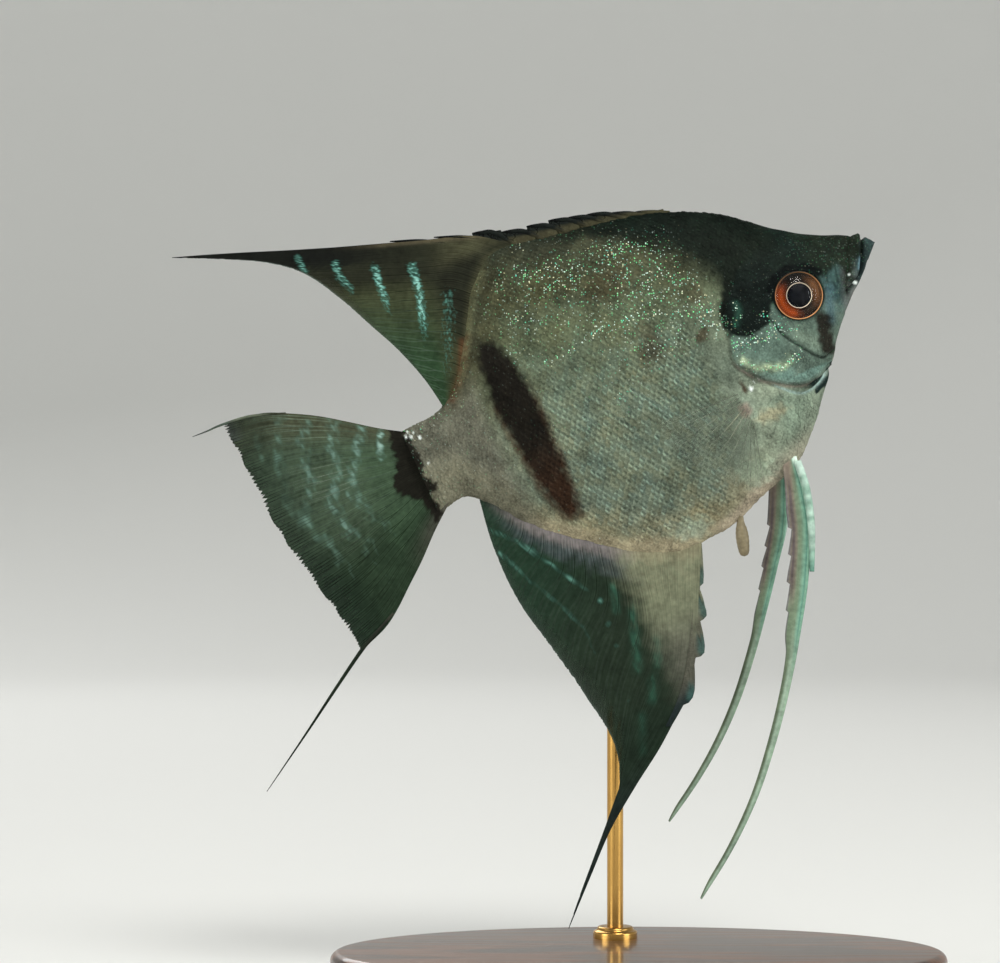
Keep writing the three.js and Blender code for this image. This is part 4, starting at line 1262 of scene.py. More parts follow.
# The top of the iris and its pale rim are darkened: painted shade from the skin over the eye.
clear_of_top_shade = scaled(tree, upward, -0.45, 0.6, clamp=True)
rim = times(tree, band(tree, ring_of, 0.905, WALL_FROM), clear_of_top_shade)
top_shade = scaled(tree, upward, 1.6, -0.5, clamp=True)
eye_colour = iris_colour
for mask, tint in (
    (times(tree, top_shade, 0.8), paint(26, 26, 24)),
    (rim, paint(206, 150, 100)),
    (sum_of(tree, "GREATER_THAN", ring_of, WALL_FROM), paint(20, 24, 24)),
    (band(tree, ring_of, PUPIL_RING, 0.503), paint(226, 208, 186)),
    (sum_of(tree, "LESS_THAN", ring_of, PUPIL_RING), paint(7, 10, 17)),
):
    eye_colour = blend(tree, mask, eye_colour, rgba(tint))
shine = times(tree, band(tree, ring_of, PUPIL_RING, 0.957), 0.12)
wire(tree, shader, eye_colour, None, fibres, bump=0.2, Metallic=shine)

window_finish, tree, shader = new_finish("clear window", Roughness=0.02, IOR=1.1, Transmission_Weight=1.0)
haze = noise(tree, None, 400.0, 2.0)
clear = blend(tree, haze, rgba((0.97, 0.985, 0.98)), rgba((1.0, 1.0, 1.0)))
wire(tree, shader, clear)
for word, hand in BOTH_SIDES:
    build(f"eyeball_{word}", turned(ball, hand), eye_finish, (f"eye_{word}",))
    build(f"eye_window_{word}", turned(window, hand), window_finish)

# %% [markdown]
# ## Fins
#
# A fin is a thin web held open by rays. The rays fork on their way out, and the web frays
# between their tips. Drawing the rays on a flat sheet would vanish at the edge and in side
# light, so each ray is a real tapering rod with its forks, set in a sheet of web.

# %% Fin makers
def four_edges(root, margin, front, rear):
    """A patch filled between four edges; front and rear run outwards from the root."""
    def place(u, v):
        u, v = np.broadcast_arrays(np.asarray(u, float), np.asarray(v, float))
        a, b = u[..., None], v[..., None]
        ends = (1 - b) * root(u) + b * margin(u)
        sides = (1 - a) * front(v) + a * rear(v)
        inner = (1 - a) * root(0.0) + a * root(1.0)
        outer = (1 - a) * margin(0.0) + a * margin(1.0)
        return ends + sides - ((1 - b) * inner + b * outer)
    return place


def spread(values, sides):
    """Numbers at the steps of rods, given to all their points."""
    return np.concatenate([np.repeat(values, sides, axis=1), values[:, :1], values[:, -1:]], axis=1).ravel()


def twice(values):
    """Numbers of a sheet's middle, given to both its faces."""
    return np.concatenate([values.ravel(), values.ravel()])


def patch(across, along):
    """Places over a patch, from 0 to 1 both ways."""
    return np.meshgrid(np.linspace(0, 1, across), np.linspace(0, 1, along), indexing="ij")


def bent(flat, sway):
    """Points of a flat fin, swung aside by its sway."""
    return np.stack([flat[..., 0], sway(flat), flat[..., 1]], -1)


def fin_bit(points, faces, across, along, ray):
    """A bit of web (0) or ray (1), with its places across and along the fin."""
    numbers = {"across": across, "along": along, "ray": np.full(len(points), float(ray))}
    return points, faces, numbers


def ragged(u, tips):
    """How far the web falls short between ray tips, 0 to 1, uneven along the edge."""
    uneven = np.clip(0.45 + 0.3 * np.sin(23 * u + 1) + 0.25 * np.sin(61 * u), 0.05, 1)
    torn = 0.3 * np.clip(np.sin(41 * u + 2), 0, 1)
    return uneven * (0.5 + 0.5 * np.cos(2 * np.pi * u * tips)) + torn


ROD_SIDES = 5


def web_bit(place, sway, half, across, along, fray, tips):
    """The web between the rays, frayed between their tips."""
    u, v = patch(across, along)
    v = v * (1 - fray * ragged(u, tips))
    points, faces = sheet(bent(place(u, v), sway), half(u, v), across, along)
    return fin_bit(points, faces, twice(u), twice(v), 0)


def ray_bits(place, sway, count, thick, fray=0.0, forks=(0.42, 0.72), steps=16):
    """Rays with two forks: one stem, two branches and four twigs each."""
    stems = (np.arange(count) + 0.5) / count
    wide, narrow = 0.18 / count, 0.085 / count
    runs = [(0.0, forks[0] + 0.01, [(0, 0)]), (forks[0], forks[1] + 0.01, [(-1, 0), (1, 0)])]
    runs.append((forks[1], 1.0, [(a, b) for a in (-1, 1) for b in (-1, 1)]))
    for start, end, sides in runs:
        for first, second in sides:
            v = np.linspace(start, end, steps)[None]
            opened = first * wide * ease(forks[0], forks[0] + 0.2, v)
            opened = opened + second * narrow * ease(forks[1], forks[1] + 0.2, v)
            u = stems[:, None] + opened
            v = np.broadcast_to(v, u.shape) * (1 - 0.45 * fray * ragged(u[:, -1:], 0) * (end == 1.0))
            paths = bent(place(u, v), sway)
            radius = thick * (1 - 0.6 * v) * (1 - 0.2 * ease(forks[0], forks[0] + 0.1, v))
            points, faces, _ = rods(paths, radius, ROD_SIDES)
            yield fin_bit(points, faces, spread(u, ROD_SIDES), spread(v, ROD_SIDES), 1)


def free_rod(route_points, radii, u=0.0, sides=8, steps=60):
    """One rod along a route of (behind, side, up) points."""
    t = np.linspace(0, 1, steps)
    path = line(route_points)(t)[None]
    radius = np.interp(t, np.linspace(0, 1, len(radii)), radii)[None]
    points, faces, share = rods(path, radius, sides)
    return fin_bit(points, faces, np.full(len(points), u), share, 1)


def dyed(bit, dye):
    """A fin bit with the colour, opacity, glow, pale rays and drawn rays that dye gives its points."""
    points, faces, numbers = bit
    colour, *others = dye(numbers["across"], numbers["along"], points[:, 0], points[:, 2], numbers["ray"])
    others = dict(zip(("veil", "glow", "pale", "drawn"), [*others, *(0.0, 0.0, 1.0)[len(others) - 1 :]]))
    full = {name: np.broadcast_to(value, len(points)).astype(float) for name, value in others.items()}
    return points, faces, {**numbers, "Hide": colour, **full}


# %% Fin finish
TURQUOISE = (paint(58, 112, 100), paint(150, 204, 194))


def fin_finish_of(
    name, count, stretch, contrast, rough, rays=0, forks=(0.42, 0.72), glows=TURQUOISE, dash=(1.6, 26),
):
    """Web and rays: streaked along the rays, with drawn rays and bands that shine in dashes."""
    made, tree, shader = new_finish(name, Specular_IOR_Level=0.04)
    made.surface_render_method = "DITHERED"
    across, along = number_of(tree, "across"), number_of(tree, "along")
    drawn = use(tree, streaks, Across=across, Along=along, Count=count, Stretch=stretch)
    lifted = sum_of(tree, "SUBTRACT", drawn["Fine"], 0.5)
    tone = scaled(tree, lifted, contrast, 1.0)
    colour = toned(tree, colour_of(tree, "Hide"), tone)
    if rays:
        lines = use(
            tree, ray_lines, Across=across, Along=along, Count=rays, First_fork=forks[0],
            Second_fork=forks[1],
        )
        web = sum_of(tree, "SUBTRACT", 1.0, number_of(tree, "ray"))
        line, edge = (times(tree, lines[end], web) for end in ("Line", "Edge"))
        pale, shown = number_of(tree, "pale"), number_of(tree, "drawn")
        colour = blend(tree, times(tree, line, shown), colour, rgba((0.36, 0.38, 0.36)), "MULTIPLY")
        lit_edge = times(tree, times(tree, edge, shown), 0.6)
        colour = blend(tree, lit_edge, colour, rgba((1.5, 1.5, 1.45)), "MULTIPLY")
        colour = blend(tree, times(tree, lines["Line"], pale), colour, rgba(paint(98, 118, 102)))
        glow = number_of(tree, "glow")
        x = times(tree, across, rays * dash[0])
        y = times(tree, along, dash[1])
        at = add(tree, "CombineXYZ", {0: x, 1: y}).outputs[0]
        dashes = noise(tree, at, 1.0, 1.0, 0.6)
        crisp = scaled(tree, dashes, 5.0, -2.1, clamp=True)
        ragged_glow = scaled(tree, sum_of(tree, "SUBTRACT", dashes, 0.5), 0.8, glow)
        strength = scaled(tree, ragged_glow, 2.2, -0.5, clamp=True)
        strength = times(tree, strength, scaled(tree, crisp, 0.6, 0.35))
        strength = times(tree, strength, scaled(tree, lines["Line"], -0.6, 1.0))
        light = times(tree, times(tree, glow, glow), crisp)
        glowing = blend(tree, light, rgba(glows[0]), rgba(glows[1]))
        colour = blend(tree, strength, colour, glowing)
    speckled = use(tree, pigment, Colour=colour, Fineness=1500.0, Depth=0.3)
    clear = scaled(tree, lifted, 0.1, number_of(tree, "veil"), clamp=True)
    matt = scaled(tree, drawn["Broad"], 0.2, rough)
    wire(tree, shader, speckled["Colour"], matt, drawn["Fine"], bump=0.4, reach=0.00015, Alpha=clear)
    return made


# %% [markdown]
# ## Dorsal fin
#
# The front spines lie folded along the back and show as a row of dark steps. Behind them the
# soft rays sweep back into a long point. The fin is brown-black along its upper edge, olive in
# the web, and crossed by bands of turquoise.

# %% Dorsal fin
DORSAL_FROM, DORSAL_TO = 47.0, 68.0
DORSAL_RAYS = 24


def dorsal_root(u):
    s = mix(DORSAL_FROM, DORSAL_TO, np.asarray(u, float))
    return np.stack([s, back_edge(s) - 1.2], -1)


dorsal_front = line([
    dorsal_root(0.0), [53.3, 26.7], [60, 29.1], [66.5, 31.5], [73, 33.9], [79.5, 36.4], [85.5, 38.8],
    [90.7, 40.8], [95.6, 42.6],
])
dorsal_margin = line([
    [95.6, 42.3], [88.8, 39], [83, 35.8], [78.6, 32], [75.4, 26.6], [73, 21.2], [70.7, 15.9], [69, 10.3],
    [68.2, 5.4],
])
dorsal_rear = line([dorsal_root(1.0), [68.2, 5.4]])
dorsal_place = four_edges(dorsal_root, dorsal_margin, dorsal_front, dorsal_rear)
# Each band: its path, its width, how bright it is, and the heights where it is full and faded.
DORSAL_BANDS = (
    ([[63.6, 26.4], [64.2, 22.6], [65.3, 19.1], [66.8, 14.5]], 0.72, 0.88, 20.5, 13.0),
    ([[68.7, 28.6], [69.1, 26.3], [69.2, 24.2], [69.9, 20.4]], 0.65, 0.82, 25.4, 19.0),
    ([[73.8, 31.6], [74.0, 29.6], [73.4, 27.5], [73.1, 25.0]], 0.62, 0.78, 29.0, 24.5),
    ([[78.5, 34.8], [78.4, 32.2]], 0.55, 0.7, 32.5, 30.5),
    ([[60.6, 20.4], [61.2, 18.4], [63.4, 14.0], [65.6, 9.4]], 1.15, 0.38, 16.0, 4.0),
)


def dorsal_sway(flat):
    return -0.0016 * np.maximum(0, flat[..., 0] - 52) ** 2


def bands_of(bands, s, z):
    """How brightly bands shine at each point."""
    glow = np.zeros(len(s))
    for path, width, strength, full, faded in bands:
        glow = np.maximum(glow, strength * brush(s, z, path, width) * ease(faded, full, z))
    return glow


def dorsal_dye(u, v, s, z, ray):
    below = 0.36 * (s - 52) + 26.5 - z
    streaks = ease(-0.3, 0.7, np.sin(2 * np.pi * 4 * DORSAL_RAYS * u + 2 * ripple(s, z, 3.0)))
    pale = ease(0.45, 0.75, u) * ease(0.12, 0.4, v)
    edge = ease(0.965, 0.985, v) * ease(0.12, 0.3, u)
    colour = lay_all(
        plain(paint(34, 36, 27), u),
        (paint(54, 58, 40), ease(5.0, 9.0, below) * ease(60, 64, s)),
        (paint(40, 60, 40), ease(0.45, 0.8, u) * ease(0.1, 0.4, v)),
        (paint(82, 82, 60), 0.85 * np.maximum(ease(0.07, 0.0, v), ease(0.3, 0.05, v) * ease(23, 26, z))),
        (paint(22, 22, 18), 0.6 * streaks * ease(0.35, 0.1, v) * ease(14, 18, z)),
        (RUST, 0.5 * brush(s, z, [[61.5, 13.2], [63.9, 8.8], [67.0, 5.2]], 0.5)),
        (paint(92, 84, 66), 0.6 * bell(below - 0.4, 0.4) * ease(78, 66, s)),
        (paint(18, 20, 18), 0.9 * ease(62, 74, s) * ease(4.0, 2.4, below + 0.5 * ripple(s, 4 * z, 1.5))),
        (paint(18, 20, 16), 0.6 * ray * (1 - pale)),
        (paint(88, 118, 96), 0.5 * ray * pale),
        (paint(104, 118, 110), 0.6 * edge),
    )
    veil = 1.0 - 0.2 * ease(0.8, 0.98, v) * ease(0.3, 0.5, u) * (1 - ray)
    return colour, veil, bands_of(DORSAL_BANDS, s, z) * (1 - edge), 0.35 * pale, 1 - 0.3 * ease(0.1, 0.0, v)


def thin(u, v):
    return 0.07 + 0.3 * (1 - v) ** 3


STEP_WEB = (300, 5)
SPINE_TIPS = [
    [30.6, 19.8], [34.0, 21.2], [36.8, 22.4], [39.6, 23.2], [42.3, 24.0], [45.6, 24.6], [49.3, 25.4],
    [53.4, 27.1],
]


def spine_bits():
    """The folded spines of the back, with the low stepped web between them."""
    tips = np.array(SPINE_TIPS)
    for s, z in tips:
        path = [
            [s - 5.2, 0, back_edge(s - 5.2) - 0.4], [s - 3.0, 0.05, z - 1.25],
            [s - 1.2, 0.05, z - 0.45], [s, 0, z],
        ]
        yield free_rod(path, [0.42, 0.4, 0.33, 0.1], u=0.1, sides=7, steps=14)
    for at, tip in (([52.0, 25.6], [58.8, 29.0]), ([57.6, 27.6], [65.0, 31.2])):
        path = [
            [at[0], 0, at[1]], [mix(at[0], tip[0], 0.5), 0, mix(at[1], tip[1], 0.5) + 0.15],
            [tip[0], -0.2, tip[1]],
        ]
        yield free_rod(path, [0.3, 0.32, 0.08], u=0.1, sides=7, steps=14)
    s = np.linspace(26.0, 54.0, STEP_WEB[0])
    i = np.clip(np.searchsorted(tips[:, 0], s), 0, len(tips) - 1)
    top = tips[i, 1] - 0.42 * np.maximum(0, tips[i, 0] - s) ** 0.8
    low = back_edge(s) - 0.6
    top = np.maximum(top * (s < 53.5) + low * (s >= 53.5), low + 0.1)
    share = np.linspace(0, 1, STEP_WEB[1])
    z = mix(low[:, None], top[:, None], share)
    middle = np.stack([np.broadcast_to(s[:, None], z.shape), np.zeros_like(z), z], -1)
    v = np.broadcast_to(share, z.shape)
    points, faces = sheet(middle, 0.3 - 0.2 * v, *STEP_WEB)
    yield fin_bit(points, faces, points[:, 0] / BODY_SPAN, twice(v), 0)


def spine_dye(u, v, s, z, ray):
    proud = z - back_edge(s)
    colour = lay(plain(paint(62, 60, 44), u), paint(22, 26, 24), ease(0.45, 1.0, proud + 0.3 * ray))
    return lay(colour, paint(12, 14, 14), ray * ease(0.45, 0.8, v)), 0.97


dorsal = joined(
    dyed(web_bit(dorsal_place, dorsal_sway, thin, 193, 60, 0.02, 2 * DORSAL_RAYS), dorsal_dye),
    *[dyed(bit, dorsal_dye) for bit in ray_bits(dorsal_place, dorsal_sway, DORSAL_RAYS, 0.17)],
    *[dyed(bit, spine_dye) for bit in spine_bits()],
)
dorsal_finish = fin_finish_of("dorsal fin", 130.0, 4.5, 1.1, 0.5, DORSAL_RAYS, dash=(2.6, 34))
build("dorsal_rays", dorsal, dorsal_finish, ("dorsal_fin",))

# %% [markdown]
# ## Anal fin
#
# The anal fin mirrors the dorsal fin below the body. Short spines stand along its front edge
# with a bluish web, then the rays run down and back into a thread. Tan skin runs on to its
# front part, and rows of turquoise dots cross its dark green web.

# %% Anal fin
ANAL_FROM, ANAL_TO = 41.3, 69.0
ANAL_RAYS = 26


def anal_root(u):
    s = mix(ANAL_FROM, ANAL_TO, np.asarray(u, float))
    return np.stack([s, belly_edge(s) + 1.2], -1)


anal_front = line([
    anal_root(0.0), [45.0, -35.1], [48.8, -42], [53.4, -48.5], [59.6, -53.8], [66, -58], [72.2, -62.4],
    [78.3, -67.9], [84.5, -73.6],
])
anal_margin = line([
    [84.7, -73.4], [78.5, -67.1], [70.8, -60.4], [66.6, -52], [67.3, -42.5], [69, -33], [70.4, -25],
    [70.3, -16.5], [69.2, -9.6],
])
anal_rear = line([anal_root(1.0), [69.2, -9.6]])
anal_place = four_edges(anal_root, anal_margin, anal_front, anal_rear)
# Each row: the same five things as for a band of the dorsal fin.
ANAL_ROWS = (
    (
        [[69.8, -14.0], [66.5, -17.7], [61.2, -27.0], [59.3, -30.5], [59.8, -34.5], [60.0, -38.6],
         [61.6, -46.0]],
        0.5, 0.6, -25.0, -33.0,
    ),
    (
        [[69.9, -17.8], [67.7, -23.1], [64.4, -29.6], [63.1, -33.4], [63.4, -38.1], [63.8, -42.5]],
        0.45, 0.52, -28.0, -42.0,
    ),
    ([[69.6, -27.0], [67.6, -33.0], [66.2, -39.0], [66.0, -46.0]], 0.5, 0.34, -20.0, -50.0),
)
ANAL_BEADS = (
    ([59.1, -30.5], 0.8), ([59.7, -34.4], 0.8), ([59.9, -37.7], 0.8), ([61.6, -42.5], 0.42),
    ([61.5, -46.0], 0.4), ([64.5, -29.4], 0.6), ([63.9, -31.0], 0.5), ([63.1, -33.1], 0.5),
    ([63.4, -37.4], 0.35),
)
ANAL_PATCHES = (
    ([[55.2, -33.7], [58.5, -42.2]], 0.7), ([[53.8, -39.2], [55.4, -43.0]], 0.6),
    ([[57.0, -44.6], [58.4, -47.4]], 0.7), ([[60.8, -49.0], [63.0, -54.0]], 0.6),
    ([[56.6, -29.5], [57.6, -33.0]], 0.5),
)


def anal_sway(flat):
    return 0.0014 * np.maximum(0, -flat[..., 1] - 30) ** 2


def anal_dye(u, v, s, z, ray):
    hem = belly_edge(s) - z
    colour = lay(plain(paint(32, 42, 32), u), paint(30, 48, 36), ease(0.45, 0.8, u))
    for path, width in ANAL_PATCHES:
        mottled = 0.7 + 0.5 * ripple(4 * s, z, 2.0)
        colour = lay(colour, paint(46, 88, 72), 0.6 * brush(s, z, path, width) * mottled)
    root_zone = ease(6.0, 1.5, hem + 1.0 * ripple(s, z, 1.4)) * ease(70, 64, s)
    streak = ease(-0.2, 0.9, np.sin(2 * np.pi * 3 * ANAL_RAYS * u))
    lavender = lay(plain(paint(84, 90, 94), u), paint(110, 104, 100), ease(3.0, 0.5, hem))
    pale = ease(57.0, 51.4, s + 0.7 * ripple(s, z, 1.6) + 0.9 * streak)
    tan = lay(plain(paint(112, 116, 94), u), paint(82, 84, 72), ease(-33, -45, z))
    folds = 0.5 + 0.5 * np.sin(5.5 * z + 1.5 * np.sin(0.9 * s) + 0.5 * s)
    tan = lay(tan, paint(104, 98, 80), 0.3 * ease(0.4, 0.9, folds) * ease(-36, -31, z))
    tan = lay(tan, paint(92, 88, 86), 0.4 * streak * ease(-36, -44, z))
    seam = ease(2.2, -0.2, hem + 0.5 * ripple(s, z, 0.8))
    dark = 1 - pale * ease(-53, -46, z)
    colour = lay_all(
        colour,
        (paint(24, 36, 27), 0.7 * ease(-44, -52, z) * ease(0.6, 0.3, u)),
        (lay(lavender, paint(40, 52, 54), 0.7 * streak), 0.7 * root_zone),
        (tan, pale * ease(-53, -46, z)),
        (mix(BELLY_TAN, paint(118, 112, 112), ease(50, 56, s)[:, None]), 0.9 * seam * ease(69, 63, s)),
        (paint(30, 36, 36), 0.85 * ease(-54, -62, z)),
        (paint(18, 24, 20), 0.55 * ray * dark * (1 - seam)),
    )
    glow = bands_of(ANAL_ROWS, s, z) * dark
    for at, strength in ANAL_BEADS:
        glow = np.maximum(glow, strength * bell(np.hypot(s - at[0], z - at[1]), 0.5))
    edge = ease(0.965, 0.985, v) * ease(0.2, 0.4, u)
    colour = lay(colour, paint(70, 84, 78), 0.6 * edge)
    veil = 1.0 - 0.18 * ease(0.8, 1, v) * (1 - ray) * ease(0.2, 0.4, u)
    return colour, veil, glow * (1 - seam), 0.12 * dark * ease(0.3, 0.6, v), (0.25 + 0.75 * dark) * (1 - seam)


# How far the flaps of the front edge stand out at each height, and the tips of their spines.
FLAP_REACH = np.array([
    [-52.0, 0.0], [-49.9, 0.3], [-49.6, 0.95], [-49.0, 1.25], [-48.2, 1.2], [-46.6, 0.75], [-45.1, 0.35],
    [-44.2, 0.35], [-44.0, 1.1], [-43.5, 1.55], [-42.6, 1.5], [-41.0, 1.0], [-39.5, 0.45], [-39.2, 0.95],
    [-38.7, 1.35], [-38.0, 1.25], [-37.0, 0.7], [-36.2, 0.15], [-34.9, 0.15], [-34.5, 0.6], [-33.4, 0.6],
    [-31.0, 0.3], [-29.5, 0.1],
])
FLAP_TIPS = ((0.112, 0.6), (0.188, 1.35), (0.278, 1.6), (0.388, 1.25))
FRINGE_OUT = np.array([-0.87, -0.49])
FRINGE_STEPS = (240, 7)


def anal_fringe():
    """The low flaps between the short spines of the front edge."""
    u, share = patch(*FRINGE_STEPS)
    edge = anal_front(0.03 + 0.43 * u)
    reach = np.interp(edge[..., 1], *FLAP_REACH.T)
    flat = edge + FRINGE_OUT * (mix(-0.9, reach, share))[..., None]
    points, faces = sheet(bent(flat, anal_sway), 0.24 - 0.15 * share, *FRINGE_STEPS)
    yield fin_bit(points, faces, twice(u), twice(share), 0)
    for at, reach in FLAP_TIPS:
        tip = anal_front(at) + FRINGE_OUT * (reach - 0.1)
        root = anal_front(at - 0.07) - FRINGE_OUT * 0.4
        path = bent(np.array([root, mix(root, tip, 0.5) + 0.1 * FRINGE_OUT, tip]), anal_sway)
        yield free_rod(path, [0.26, 0.24, 0.1], u=0.5, sides=7, steps=12)


def fringe_dye(u, v, s, z, ray):
    colour = lay(plain(paint(104, 106, 88), u), paint(80, 80, 70), ease(-34, -44, z))
    colour = lay(colour, paint(34, 42, 42), ease(-46, -50, z))
    for at, reach in FLAP_TIPS:
        tip = anal_front(at) + FRINGE_OUT * reach
        near = np.hypot((s - tip[0]) / 1.2, (z - tip[1] - 1.2) / 2.4)
        colour = lay(colour, paint(54, 82, 78), 0.75 * ease(1.1, 0.5, near) * ease(0.35, 0.7, v))
    return colour, 1.0, 0.0, 0.0, 0.0


anal = joined(
    dyed(web_bit(anal_place, anal_sway, thin, 209, 70, 0.02, 2 * ANAL_RAYS), anal_dye),
    *[dyed(bit, anal_dye) for bit in ray_bits(anal_place, anal_sway, ANAL_RAYS, 0.17)],
    *[dyed(bit, fringe_dye) for bit in anal_fringe()],
)
anal_finish = fin_finish_of(
    "anal fin", 130.0, 4.5, 1.0, 0.5, ANAL_RAYS, glows=(paint(50, 86, 76), paint(120, 168, 152)),
    dash=(0.7, 12),
)
build("anal_rays", anal, anal_finish, ("anal_fin",))

# %% [markdown]
# ## Tail fin
#
# The tail is a fan of forked rays with a short thread above and a long one below. Columns of
# pale spots cross it between the dark rays, and its edge is clear and a little torn.

# %% Tail fin
TAIL_RAYS = 17
tail_front = line(
    [[74.8, 4.4], [78.2, 6.6], [81.8, 9.3], [85.5, 12], [89.4, 14.3], [93.4, 16.2], [99.5, 17.3]]
)
tail_rear = line([
    [73.6, -8], [77.2, -10.8], [80.7, -13.9], [84, -16.5], [87.3, -19.1], [90.3, -20.9], [94.8, -22.4],
])
tail_margin = line([
    [99.5, 17.3], [99.1, 12], [98.9, 6], [98.6, -0.6], [97.5, -7], [96.3, -12.9], [95.3, -18.4],
    [94.8, -22.4],
])
tail_root = line([[74.8, 4.4], [73.9, -2], [73.6, -8]])
tail_place = four_edges(tail_root, tail_margin, tail_front, tail_rear)
# Each column of spots: the same five things again.
TAIL_COLUMNS = (
    ([[78.3, 6.0], [79.1, 4.4], [79.6, 3.4], [79.6, 2.4]], 0.55, 1.0, 2.4, 0.6),
    (
        [[80.4, 8.2], [81.1, 7.0], [82.4, 5.6], [83.4, 4.0], [84.9, 2.0], [86.2, -0.3], [85.4, -2.4],
         [84.7, -4.8], [83.3, -7.5], [82.2, -11.0]],
        1.15, 0.56, 1.0, -16.0,
    ),
    (
        [[84.4, 10.2], [85.0, 9.1], [86.0, 7.0], [86.2, 5.1], [87.0, 2.8], [89.7, -0.4], [89.3, -3.3],
         [88.6, -6.2], [87.1, -8.7], [87.1, -12.5], [86.0, -16.5]],
        1.25, 0.54, -2.0, -20.0,
    ),
    (
        [[88.0, 12], [88.7, 10.6], [89.9, 9.1], [90.4, 7.0], [91.0, 3.7], [94.4, -0.3], [94.1, -2.2],
         [92.6, -5.3], [92.1, -6.7], [91.4, -11.0], [90.4, -15.5]],
        1.25, 0.5, -1.0, -18.0,
    ),
    (
        [[91.3, 13.9], [93.5, 10.5], [93.9, 8.9], [94.4, 6.2], [94.8, 3.5], [95.6, 0.0], [95.2, -5.0]],
        1.1, 0.42, 3.0, -8.0,
    ),
    ([[94.9, 15.5], [95.5, 13.7], [95.6, 12.3], [96.6, 8.5]], 0.8, 0.36, 12.0, 5.0),
)


def tail_sway(flat):
    return 0.006 * np.maximum(0, flat[..., 0] - 76) ** 2


def tail_dye(u, v, s, z, ray):
    light = ease(0.7, 0.35, u) * ease(0.08, 0.2, v) * ease(1.0, 0.8, v)
    bar = tail_bar(s, z)
    colour = lay_all(
        plain(paint(62, 76, 60), u),
        (paint(36, 50, 36), ease(0.4, 0.75, u)),
        (paint(56, 76, 56), 0.6 * ease(0.1, 0.3, u) * ease(0.9, 0.6, u) * ease(0.6, 0.3, v)),
        (paint(66, 66, 50), 0.7 * ease(0.22, 0.06, u)),
        (paint(92, 92, 78), 0.8 * ease(0.12, 0.02, v)),
        (paint(74, 68, 64), 0.5 * ease(0.75, 0.95, u) * ease(0.5, 0.1, v)),
        (paint(26, 38, 30), 0.55 * ease(0.7, 0.96, v)),
        (paint(26, 30, 24), 0.6 * ray),
        (paint(104, 112, 96), 0.7 * ray * light * (np.sin(2 * np.pi * 3.7 * u) > -0.3)),
        (paint(52, 58, 54), 0.9 * ease(96.5, 99.0, s) * (z > 14)),
        (BAR_CORE, bar),
    )
    glow = bands_of(TAIL_COLUMNS, s, z) * (1 - bar)
    return colour, 1.0 - 0.1 * ease(0.8, 1, v) * (1 - ray), glow, 0.3 * light * (1 - bar), 1.0 - 0.7 * bar


def tail_half(u, v):
    return 0.06 + 0.55 * (1 - v) ** 5


TAIL_THREADS = (
    (0.02, [[90, 14.6], [95, 16.5], [99.5, 17.2], [102, 17.3], [104.4, 17.5]], [0.16, 0.2, 0.18, 0.12, 0.04]),
    (
        0.98,
        [[88, -19.3], [92.5, -21.3], [95, -22.5], [101, -26.1], [108, -30.4], [117.4, -36]],
        [0.2, 0.3, 0.3, 0.24, 0.16, 0.04],
    ),
)
tail_bits = [dyed(web_bit(tail_place, tail_sway, tail_half, 273, 80, 0.035, 4 * TAIL_RAYS), tail_dye)]
tail_bits += [
    dyed(bit, tail_dye) for bit in ray_bits(tail_place, tail_sway, TAIL_RAYS, 0.17, 0.035, (0.3, 0.62))
]
for u, places, radii in TAIL_THREADS:
    tail_bits.append(dyed(free_rod(bent(np.array(places, float), tail_sway), radii, u), tail_dye))
tail_finish = fin_finish_of(
    "tail fin", 120.0, 4.0, 1.2, 0.5, TAIL_RAYS, (0.3, 0.62), (
        paint(76, 104, 90), paint(144, 174, 164),
    ), (1.0, 20)
)
build("tail_rays", joined(*tail_bits), tail_finish, ("tail_fin",))

# %% [markdown]
# ## Feelers and pectoral fins
#
# The pelvic fins are the angelfish's feelers: a stiff bright spine, a small web with a
# toothed edge, and rays drawn out into a long thread. The pectoral fins behind the gill
# covers are almost as clear as glass, with eleven fine rays.

# %% Pelvic fins
PELVICS = {
    RIGHT: {
        "front": [
            [23.8, -23.4], [25.8, -32.3], [29.6, -40.0], [34.4, -47.1], [39.5, -53.9], [44.9, -60.4],
            [50.7, -66.5], [57.3, -71.9], [64.3, -76.4],
        ],
        "width": [
            [0, 1.9], [0.05, 2.5], [0.12, 3.3], [0.24, 3.3], [0.31, 2.85], [0.38, 2.3], [0.43, 1.5],
            [0.5, 1.25], [0.7, 1.05], [0.93, 0.8], [1, 0.3],
        ],
        "spread": [[0, 1.2], [0.25, 3.4], [0.6, 6.2], [1, 7.5]],
        "spine": [[23.9, 1.4, -24.2], [24.5, 2.2, -28.5], [26.2, 2.9, -33.8], [29.0, 3.8, -39.8]],
        "teeth": (0.15, 0.4),
    },
    LEFT: {
        "front": [
            [25.2, -23.8], [29.1, -32.1], [33.1, -37.7], [37.4, -43.2], [41.9, -48.7], [46.6, -53.9],
            [51.8, -58.6], [57.6, -62.8], [63.7, -66.4],
        ],
        "width": [
            [0, 2.5], [0.12, 2.8], [0.22, 2.5], [0.31, 2.0], [0.38, 1.6], [0.45, 1.2], [0.7, 1.05],
            [0.93, 0.8], [1, 0.3],
        ],
        "spread": [[0, 1.2], [0.25, 4], [0.6, 8.4], [1, 12.5]],
        "spine": [[25.4, 1.4, -24.4], [27.1, 2.4, -28], [29.4, 3.4, -32.3], [32.3, 4.1, -36.3]],
        "teeth": (0.13, 0.38),
    },
}
PELVIC_STEPS = (33, 240)
TOOTH_DEEP = 0.16
